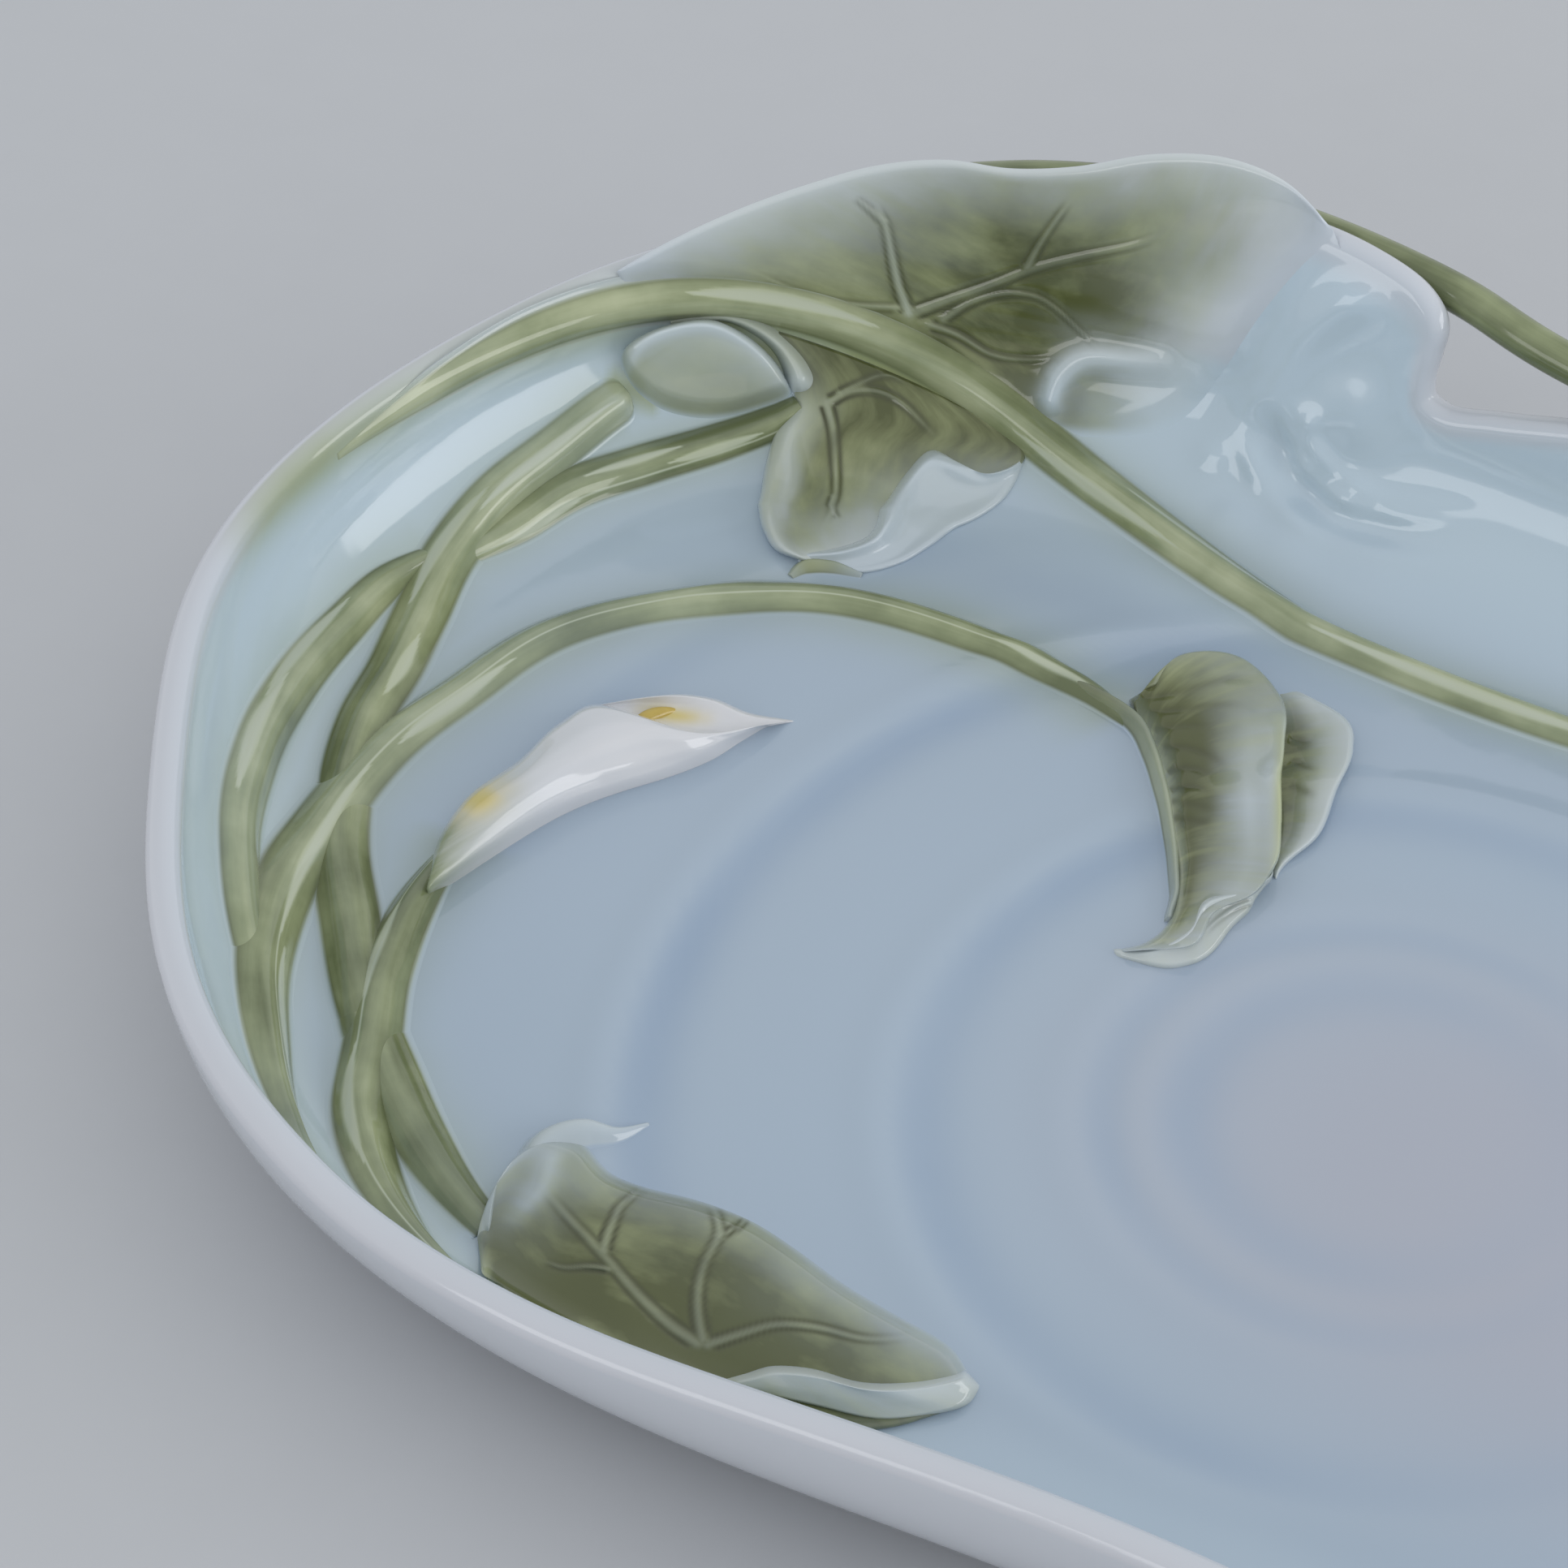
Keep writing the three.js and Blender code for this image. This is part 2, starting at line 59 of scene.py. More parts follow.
# rings of water modelled into the floor: radius and height of each crest
rippleForm = {
    "centre": (2, -10),
    "crests": [(28, 0.3), (37, 0.3), (59, 0.42), (92, 0.42), (124, 0.25)],
    "crestWidth": 2.8, "troughBack": 5.6, "troughWidth": 4.4, "troughShare": 0.75,
    "allRound": 0.55, "facing": 0.45,  # higher towards the sprigs
    "calms": (0.92, 1.12),  # climbs between which the rings die out
}


def smoothStep(low, high, value):
    share = np.clip((value - low) / (high - low), 0, 1)
    return share * share * (3 - 2 * share)


# even shares, a little closer together at both ends
def easedShares(count):
    shares = np.linspace(0, 1, count)
    return 0.6 * shares + 0.4 * (0.5 - 0.5 * np.cos(math.pi * shares))


# a line or a row of values with its corners worn off
def softened(line, passes):
    for _ in range(passes):
        line[1:-1] = (line[:-2] + 2 * line[1:-1] + line[2:]) / 4
    return line


def pickAlong(line, shares):
    at = np.linspace(0, 1, len(line))
    return np.stack([np.interp(shares, at, column) for column in line.T], axis=1)


def stepsAlong(points):
    return np.linalg.norm(np.diff(points, axis=0), axis=1)


def lengthAlong(points):
    return np.concatenate([[0], np.cumsum(stepsAlong(points))])


def unit(vectors):
    return vectors / np.linalg.norm(vectors, axis=-1, keepdims=True)


def outlineAt(angle, inset=0.0):
    reach = dishForm["mean"] + 0 * angle
    for waves, cosine, sine in dishForm["waves"]:
        reach = reach + cosine * np.cos(waves * angle) + sine * np.sin(waves * angle)
    along = (dishForm["halfLength"] - inset) * reach * np.cos(angle)
    across = (dishForm["halfWidth"] - inset) * reach * np.sin(angle)
    return along, across


def ripples(x, y):
    outX, outY = x - rippleForm["centre"][0], y - rippleForm["centre"][1]
    radius = np.hypot(outX, outY)
    facing = rippleForm["allRound"] - rippleForm["facing"] * outX / np.maximum(radius, 1)
    crest, trough = 0 * radius, 0 * radius
    for ring, height in rippleForm["crests"]:
        crest = crest + height * np.exp(-(((radius - ring) / rippleForm["crestWidth"]) ** 2))
        back = radius - ring + rippleForm["troughBack"]
        trough = trough + height * np.exp(-((back / rippleForm["troughWidth"]) ** 2))
    return crest * facing, trough * facing


turnStep, bearingStep, climbStep = 1e-4, 0.05, 0.001  # for slopes


# a place is a bearing round the dish and a climb: 0 mid floor, 1 foot of the wall, 2 plain rim
def dishPoint(bearing, climb, rippled=True):
    bearing, climb = np.broadcast_arrays(np.asarray(bearing, float), np.asarray(climb, float))
    angle = np.radians(bearing)
    lean = math.radians(dishForm["wallLean"])
    wall = dishForm["wallSpread"] + dishForm["backSpread"] * np.sin(angle)
    turn = np.clip(climb - 1, 0, 1) * lean
    rise = (dishForm["rimHeight"] - dishForm["floorTop"]) / (1 - math.cos(lean))
    crest = np.maximum(climb - 2, 0)
    crestLength = rise * lean * math.sin(lean) * crest
    crestLean = lean - math.radians(dishForm["crestFlare"]) * crest / 2
    inset = wall * (1 - np.sin(turn) / math.sin(lean)) - crestLength * np.cos(crestLean)
    height = dishForm["floorTop"] + rise * (1 - np.cos(turn)) + crestLength * np.sin(crestLean)
    ahead, behind = outlineAt(angle + turnStep), outlineAt(angle - turnStep)
    goX, goY = ahead[0] - behind[0], ahead[1] - behind[1]
    size = np.hypot(goX, goY)
    x, y = outlineAt(angle)
    small = np.minimum(climb, 1)
    x = (x - inset * goY / size) * small
    y = (y + inset * goX / size) * small
    if rippled:
        crestHere, troughHere = ripples(x, y)
        calm = 1 - smoothStep(*rippleForm["calms"], climb)
        height = height + calm * (crestHere - rippleForm["troughShare"] * troughHere)
    return np.stack([x, y, height], axis=-1)


# steps round and up the plain dish
def dishSteps(bearing, climb):
    around = dishPoint(bearing + bearingStep, climb, False) - dishPoint(bearing - bearingStep, climb, False)
    up = dishPoint(bearing, climb + climbStep, False) - dishPoint(bearing, climb - climbStep, False)
    return around, up


def dishNormal(bearing, climb):
    around, up = dishSteps(bearing, climb)
    normal = np.cross(up, around)
    size = np.linalg.norm(normal, axis=-1, keepdims=True)
    return np.where(size > 1e-9, normal / np.maximum(size, 1e-9), np.array([0.0, 0.0, 1.0]))


def lifted(bearing, climb, height):
    return dishPoint(bearing, climb) + dishNormal(bearing, climb) * np.asarray(height)[..., None]


# the relief is pressed so that it leans a little to the front right
leanForm = {"way": np.array([0.343, -0.646, 0.682]), "steepest": 0.42, "fades": (0.25, 0.5)}


def leaned(bearing, climb, height):
    normal = dishNormal(bearing, climb)
    facing = (normal * leanForm["way"]).sum(axis=-1, keepdims=True)
    reach = np.maximum(facing, leanForm["steepest"])
    aside = (leanForm["way"] / reach - normal * facing / reach) * smoothStep(*leanForm["fades"], facing)
    return dishPoint(bearing, climb) + (normal + aside) * np.asarray(height)[..., None]


# floor climbs are much longer than wall climbs, so lines are drawn on evened-out ones
floorStretch, bearingStretch = 5, 12


def evenClimb(climb):
    return np.where(climb < 1, (climb - 1) * floorStretch, climb - 1)


def plainClimb(even):
    return np.where(even < 0, even / floorStretch + 1, even + 1)


# smooth line through places, evenly stepped from one to the next
def placeLine(places, count, soften):
    knots = np.array([(place + (0, 0))[:3] for place in map(tuple, places)], float)
    knots[:, 0] /= bearingStretch
    knots[:, 1] = evenClimb(knots[:, 1])
    knots = np.vstack([2 * knots[0] - knots[1], knots, 2 * knots[-1] - knots[-2]])
    spans = len(knots) - 3
    at = np.linspace(0, spans, count)
    low = np.minimum(at.astype(int), spans - 1)
    part = (at - low)[:, None]
    first, start, end, last = (knots[low + step] for step in range(4))
    gapIn, gap, gapOut = (
        np.maximum(np.linalg.norm(b - a, axis=1, keepdims=True), 1e-6) ** 0.5
        for a, b in ((first, start), (start, end), (end, last))
    )
    leave = ((start - first) / gapIn - (end - first) / (gapIn + gap) + (end - start) / gap) * gap
    reach = ((end - start) / gap - (last - start) / (gap + gapOut) + (last - end) / gapOut) * gap
    bend = 2 * (start - end) + leave + reach
    line = start + part * (leave + part * (3 * (end - start) - 2 * leave - reach + part * bend))
    line = softened(line, soften)
    line[:, 0] *= bearingStretch
    line[:, 1] = plainClimb(line[:, 1])
    return line


# values spread evenly over a stretch
def spreadOver(values, shares, soften):
    return softened(np.interp(shares, np.linspace(0, 1, len(values)), values), soften)


def softTable(table, along, across, soften=40):
    table = np.array(table, float)
    wide = np.stack([np.interp(across, np.linspace(0, 1, table.shape[1]), row) for row in table])
    field = np.stack([np.interp(along, np.linspace(0, 1, table.shape[0]), column) for column in wide.T], axis=1)
    for _ in range(soften):
        padded = np.pad(field, 1, mode="edge")
        field = (padded[:-2, 1:-1] + padded[2:, 1:-1] + padded[1:-1, :-2] + padded[1:-1, 2:] + 4 * field) / 8
    return field


millimetre, weldGap = 0.001, 2e-6  # in metres


# a grid primitive laid over a sheet of points, its seams and poles closed
def wrapGrid(name, points, marks):
    rows, columns = points.shape[:2]
    bpy.ops.object.select_all(action="DESELECT")
    bpy.ops.mesh.primitive_grid_add(x_subdivisions=columns - 1, y_subdivisions=rows - 1, size=2)
    piece = bpy.context.object
    piece.name = name
    mesh = piece.data
    mesh.name = name
    flat = np.empty(len(mesh.vertices) * 3)
    mesh.vertices.foreach_get("co", flat)
    flat = flat.reshape(-1, 3)
    column = np.rint((flat[:, 0] + 1) / 2 * (columns - 1)).astype(int)
    row = np.rint((flat[:, 1] + 1) / 2 * (rows - 1)).astype(int)
    placed = (points[row, column] + np.array([0, dishForm["shift"], 0])) * millimetre
    mesh.vertices.foreach_set("co", placed.ravel())
    for mark, values in marks.items():
        picked = np.ascontiguousarray(values[row, column], np.float32)
        if picked.ndim == 2:
            mesh.attributes.new(mark, "FLOAT_VECTOR", "POINT").data.foreach_set("vector", picked.ravel())
        else:
            mesh.attributes.new(mark, "FLOAT", "POINT").data.foreach_set("value", picked)
    bpy.ops.object.mode_set(mode="EDIT")
    bpy.ops.mesh.select_all(action="SELECT")
    bpy.ops.mesh.remove_doubles(threshold=weldGap)
    bpy.ops.mesh.normals_make_consistent(inside=False)
    bpy.ops.object.mode_set(mode="OBJECT")
    bpy.ops.object.shade_smooth()
    return piece


def joinPieces(pieces):
    bpy.ops.object.select_all(action="DESELECT")
    for piece in pieces:
        piece.select_set(True)
    bpy.context.view_layer.objects.active = pieces[0]
    bpy.ops.object.join()
    return pieces[0]


def settle(piece, node, material):
    piece.data.materials.clear()
    piece.data.materials.append(material)
    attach(piece, "root")
    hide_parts(node)


# glaze effects shared by the materials
glazeForm = {
    "ior": 1.52, "smoothest": 0.04, "duller": 0.08, "cloudScale": 40, "skinDepth": 0.0002,
    "waveScale": 34, "waveHeight": 3, "fineScale": 260, "fineHeight": 0.12,
    "speckScale": 105, "speckShare": 0.04, "speckSize": 0.024, "speckCover": 0.8, "speck": (0.06, 0.055, 0.045),
}


def newGroup(name, inputs, outputs):
    group = bpy.data.node_groups.new(name, "ShaderNodeTree")
    for label in inputs:
        group.interface.new_socket(label, in_out="INPUT", socket_type="NodeSocketFloat")
    for label, kind in outputs:
        group.interface.new_socket(label, in_out="OUTPUT", socket_type="NodeSocket" + kind)
    return group, group.nodes.new("NodeGroupInput"), group.nodes.new("NodeGroupOutput")


def feed(tree, socket, value):
    if isinstance(value, bpy.types.NodeSocket):
        tree.links.new(value, socket)
    else:
        socket.default_value = value


def addMath(tree, operation, *values, clamp=False):
    node = tree.nodes.new("ShaderNodeMath")
    node.operation = operation
    node.use_clamp = clamp
    for socket, value in zip(node.inputs, values):
        feed(tree, socket, value)
    return node.outputs[0]


def addNoise(tree, scale, detail, where=None):
    if where is None:
        where = tree.nodes.new("ShaderNodeTexCoord").outputs["Object"]
    noise = tree.nodes.new("ShaderNodeTexNoise")
    noise.inputs["Detail"].default_value = detail
    noise.inputs["Scale"].default_value = scale
    tree.links.new(where, noise.inputs["Vector"])
    return noise.outputs["Fac"]


def addMix(tree, share, first, second):
    node = tree.nodes.new("ShaderNodeMix")
    node.data_type = "RGBA"
    for at, value in ((0, share), (6, first), (7, second)):
        feed(tree, node.inputs[at], (*value, 1) if isinstance(value, tuple) else value)
    return node.outputs[2]


def addMark(tree, name, output="Fac"):
    node = tree.nodes.new("ShaderNodeAttribute")
    node.attribute_name = name
    return node.outputs[output]


# a share broken up by noise
def addPatches(tree, share, noise, contrast, least):
    return addMath(tree, "MULTIPLY", share, addMath(tree, "MULTIPLY_ADD", noise, contrast, least), clamp=True)


def makeMottleGroup():
    group, _, outside = newGroup("glazeMottle", (), [("Cloud", "Float"), ("Skin", "Float")])
    group.links.new(addNoise(group, glazeForm["cloudScale"], 4), outside.inputs["Cloud"])
    wave = addMath(group, "MULTIPLY", addNoise(group, glazeForm["waveScale"], 1), glazeForm["waveHeight"])
    fine = addMath(group, "MULTIPLY", addNoise(group, glazeForm["fineScale"], 1), glazeForm["fineHeight"])
    group.links.new(addMath(group, "ADD", wave, fine), outside.inputs["Skin"])
    return group


def makeSpeckGroup():
    group, _, outside = newGroup("kilnSpecks", (), [("Speck", "Float")])
    where = group.nodes.new("ShaderNodeTexCoord")
    cells = group.nodes.new("ShaderNodeTexVoronoi")
    cells.inputs["Scale"].default_value = glazeForm["speckScale"]
    group.links.new(where.outputs["Object"], cells.inputs["Vector"])
    pick = group.nodes.new("ShaderNodeSeparateColor")
    group.links.new(cells.outputs["Color"], pick.inputs["Color"])
    chosen = addMath(group, "LESS_THAN", pick.outputs[0], glazeForm["speckShare"])
    near = addMath(group, "LESS_THAN", cells.outputs["Distance"], glazeForm["speckSize"])
    group.links.new(addMath(group, "MULTIPLY", chosen, near), outside.inputs["Speck"])
    return group


porcelainLook = {
    "floor": (0.375, 0.455, 0.545), "pool": (0.285, 0.372, 0.495), "lilac": (0.4, 0.422, 0.488),
    "wall": (0.49, 0.59, 0.665), "rim": (0.555, 0.565, 0.605), "olive": (0.29, 0.33, 0.15),
    "cloudScale": 24, "contrast": 1.8, "unevenness": 0.8,
}


# colour of the bare porcelain under everything, by where it is on the dish
def makeGroundGroup():
    group, inside, outside = newGroup(
        "porcelainGround", ("Lilac", "Wall", "Pool", "Rim", "Olive"), [("Colour", "Color")]
    )
    cloud = addNoise(group, porcelainLook["cloudScale"], 4)
    colour = porcelainLook["floor"]
    for label in ("Lilac", "Wall", "Pool", "Rim", "Olive"):
        share = inside.outputs[label]
        if label in ("Pool", "Olive"):
            share = addPatches(group, share, cloud, porcelainLook["contrast"], 0)
        colour = addMix(group, share, colour, porcelainLook[label.lower()])
    group.links.new(colour, outside.inputs["Colour"])
    return group


mottleGroup = makeMottleGroup()
speckGroup = makeSpeckGroup()
groundGroup = makeGroundGroup()


def placeGroup(tree, group, **values):
    node = tree.nodes.new("ShaderNodeGroup")
    node.node_tree = group
    for label, value in values.items():
        feed(tree, node.inputs[label], value)
    return node.outputs


def startMaterial(name, roughness):
    material = bpy.data.materials.new(name)
    material.use_nodes = True
    tree = material.node_tree
    shader = tree.nodes["Principled BSDF"]
    shader.inputs["Roughness"].default_value = roughness
    shader.inputs["IOR"].default_value = glazeForm["ior"]
    return material, tree, shader


def addGround(tree):
    marks = {label.capitalize(): addMark(tree, label) for label in ("lilac", "wall", "pool", "rim", "olive")}
    return placeGroup(tree, groundGroup, **marks)["Colour"]


def finishGlaze(tree, shader, colour, unevenness):
    mottle = placeGroup(tree, mottleGroup)
    specks = addMath(tree, "MULTIPLY", placeGroup(tree, speckGroup)["Speck"], glazeForm["speckCover"])
    tree.links.new(addMix(tree, specks, colour, glazeForm["speck"]), shader.inputs["Base Color"])
    dull = addMath(tree, "MULTIPLY_ADD", mottle["Cloud"], glazeForm["duller"], glazeForm["smoothest"])
    tree.links.new(dull, shader.inputs["Roughness"])
    bump = tree.nodes.new("ShaderNodeBump")
    bump.inputs["Strength"].default_value = unevenness
    bump.inputs["Distance"].default_value = glazeForm["skinDepth"]
    tree.links.new(mottle["Skin"], bump.inputs["Height"])
    tree.links.new(bump.outputs["Normal"], shader.inputs["Normal"])


def makePorcelain():
    material, tree, shader = startMaterial("porcelainGlaze", 0.08)
    finishGlaze(tree, shader, addGround(tree), porcelainLook["unevenness"])
    return material


greenLook = {
    "bare": (0.605, 0.645, 0.635), "line": (0.055, 0.06, 0.022), "pale": (0.44, 0.48, 0.39),
    "edge": (0.44, 0.46, 0.17), "cloudScale": 75, "strokes": 1.5, "clouds": 1.5, "drag": 1.6,
    "contrast": 1.6, "least": 0.2, "unevenness": 0.9,
}
stemLook = {"deep": (0.13, 0.155, 0.07), "mid": (0.265, 0.3, 0.16), "light": (0.43, 0.46, 0.285)}
leafLook = {"deep": (0.085, 0.096, 0.03), "mid": (0.21, 0.232, 0.105), "light": (0.345, 0.37, 0.2)}


# brushed green over the bare glaze, thin where the brush ran dry
def makeGreen(name, look):
    material, tree, shader = startMaterial(name, 0.08)
    strokes = addNoise(tree, 1, 5, addMark(tree, "grain", "Vector"))
    clouds = addNoise(tree, greenLook["cloudScale"], 4)
    spread = addMath(tree, "MULTIPLY", clouds, greenLook["clouds"])
    spread = addMath(tree, "MULTIPLY_ADD", strokes, greenLook["strokes"], spread)
    tone = addMath(tree, "SUBTRACT", addMath(tree, "SUBTRACT", spread, 1), addMark(tree, "shade"))
    green = addMix(tree, addMath(tree, "MULTIPLY", tone, 2, clamp=True), look["deep"], look["mid"])
    green = addMix(tree, addMath(tree, "MULTIPLY_ADD", tone, 2, -1, clamp=True), green, look["light"])
    tint = addMark(tree, "tint")
    thin = addMath(tree, "MINIMUM", tint, addMath(tree, "SUBTRACT", 1, tint))
    drag = addMath(tree, "MULTIPLY", addMath(tree, "SUBTRACT", strokes, 0.5), greenLook["drag"])
    tint = addMath(tree, "MULTIPLY_ADD", thin, drag, tint, clamp=True)
    broken = addPatches(tree, addMark(tree, "crease"), clouds, greenLook["contrast"], greenLook["least"])
    colour = addMix(tree, addMark(tree, "pale"), addGround(tree), greenLook["bare"])
    colour = addMix(tree, tint, colour, green)
    colour = addMix(tree, addMark(tree, "ridge"), colour, greenLook["pale"])
    colour = addMix(tree, addMark(tree, "yellow"), colour, greenLook["edge"])
    colour = addMix(tree, broken, colour, greenLook["line"])
    finishGlaze(tree, shader, colour, greenLook["unevenness"])
    return material


petalLook = {
    "white": (0.68, 0.675, 0.69), "cool": (0.53, 0.56, 0.6), "green": (0.22, 0.26, 0.13),
    "yellow": (0.6, 0.47, 0.07), "coolShare": 0.35, "contrast": 1.6, "least": 0.2, "unevenness": 0.5,
}


def makePetal():
    material, tree, shader = startMaterial("petalGlaze", 0.08)
    strokes = addNoise(tree, 1, 4, addMark(tree, "grain", "Vector"))
    cool = addMath(tree, "MULTIPLY", strokes, petalLook["coolShare"])
    colour = addMix(tree, cool, petalLook["white"], petalLook["cool"])
    colour = addMix(tree, addMark(tree, "pool"), colour, petalLook["cool"])
    brushed = addPatches(tree, addMark(tree, "tint"), strokes, petalLook["contrast"], petalLook["least"])
    colour = addMix(tree, brushed, colour, petalLook["green"])
    colour = addMix(tree, addMark(tree, "yellow"), colour, petalLook["yellow"])
    finishGlaze(tree, shader, colour, petalLook["unevenness"])
    return material


pollenLook = {"light": (0.56, 0.42, 0.1), "dark": (0.44, 0.31, 0.06), "grainScale": 500, "unevenness": 0.6}


def makePollen():
    material, tree, shader = startMaterial("pollenGlaze", 0.12)
    grain = addNoise(tree, pollenLook["grainScale"], 4)
    colour = addMix(tree, grain, pollenLook["light"], pollenLook["dark"])
    finishGlaze(tree, shader, colour, pollenLook["unevenness"])
    return material


porcelain = makePorcelain()
stemGreen = makeGreen("stemGlaze", stemLook)
leafGreen = makeGreen("leafGlaze", leafLook)
petalWhite = makePetal()
pollenYellow = makePollen()
print("glazes mixed")


# distance of each point from a line of places, and how far along the line that is
def nearLine(points, places, count=48, soften=6):
    line = placeLine(places, count, soften)
    trace = dishPoint(line[:, 0], line[:, 1])
    apart = np.full(points.shape[:-1], 1e9)
    where = np.zeros(points.shape[:-1])
    for step in range(count - 1):
        span = trace[step + 1] - trace[step]
        away = points - trace[step]
        part = np.clip(away @ span / (span @ span), 0, 1)
        here = ((away - part[..., None] * span) ** 2).sum(axis=-1)
        closer = here < apart
        apart[closer] = here[closer]
        where[closer] = (step + part[closer]) / (count - 1)
    return np.sqrt(apart), where


# water drawn down the crest and along the back wall: path, width, height
flowForm = [
    ([(107.2, 1.95), (107.2, 1.81), (106.3, 1.71), (105, 1.66), (103.6, 1.65), (100.6, 1.7), (97, 1.78)], 1.4, 0.8),
    ([(108.2, 1.84), (107.4, 1.69), (106, 1.6), (104.3, 1.58), (101.8, 1.61), (97.5, 1.72)], 1.5, 0.9),
    ([(109.3, 1.92), (108.5, 1.74), (107.6, 1.63), (106.4, 1.56), (104.7, 1.52), (101.5, 1.55), (97, 1.64)], 1.9, -1.1),
    ([(110.4, 1.77), (109.5, 1.63), (108.3, 1.52), (106.6, 1.44), (104.2, 1.41), (99.8, 1.47), (94, 1.6)], 2, 1),
    ([(110.9, 1.39), (108.5, 1.36), (105.3, 1.31), (100.5, 1.34), (94, 1.45)], 2.2, 0.5),
    ([(106, 2.5), (107.6, 2.32), (108.6, 2.14), (109.5, 1.95), (110.4, 1.75), (111, 1.6)], 3.2, 1.2),
    ([(108.2, 1.86), (106.6, 1.9), (105.6, 1.92)], 6.5, 2.2),
]

# more olive, along the rim and in the hollows by the middle leaf, where it is also painted shade between the vine and
# the leaves: path, width, strength
haloForm = [
    ([(186, 2.01), (178, 2.02), (170, 2.02), (160, 2), (151, 1.98), (143, 1.95), (136, 1.88)], 4, 0.65),
    ([(140, 1.88), (135, 1.84), (131, 1.76), (127, 1.64), (122, 1.5), (118, 1.36)], 3.4, 0.9),
    ([(135, 1.74), (132, 1.7), (129, 1.66)], 3.5, 1), ([(144, 1.72), (141.5, 1.62), (139.5, 1.54)], 2.5, 0.7),
]
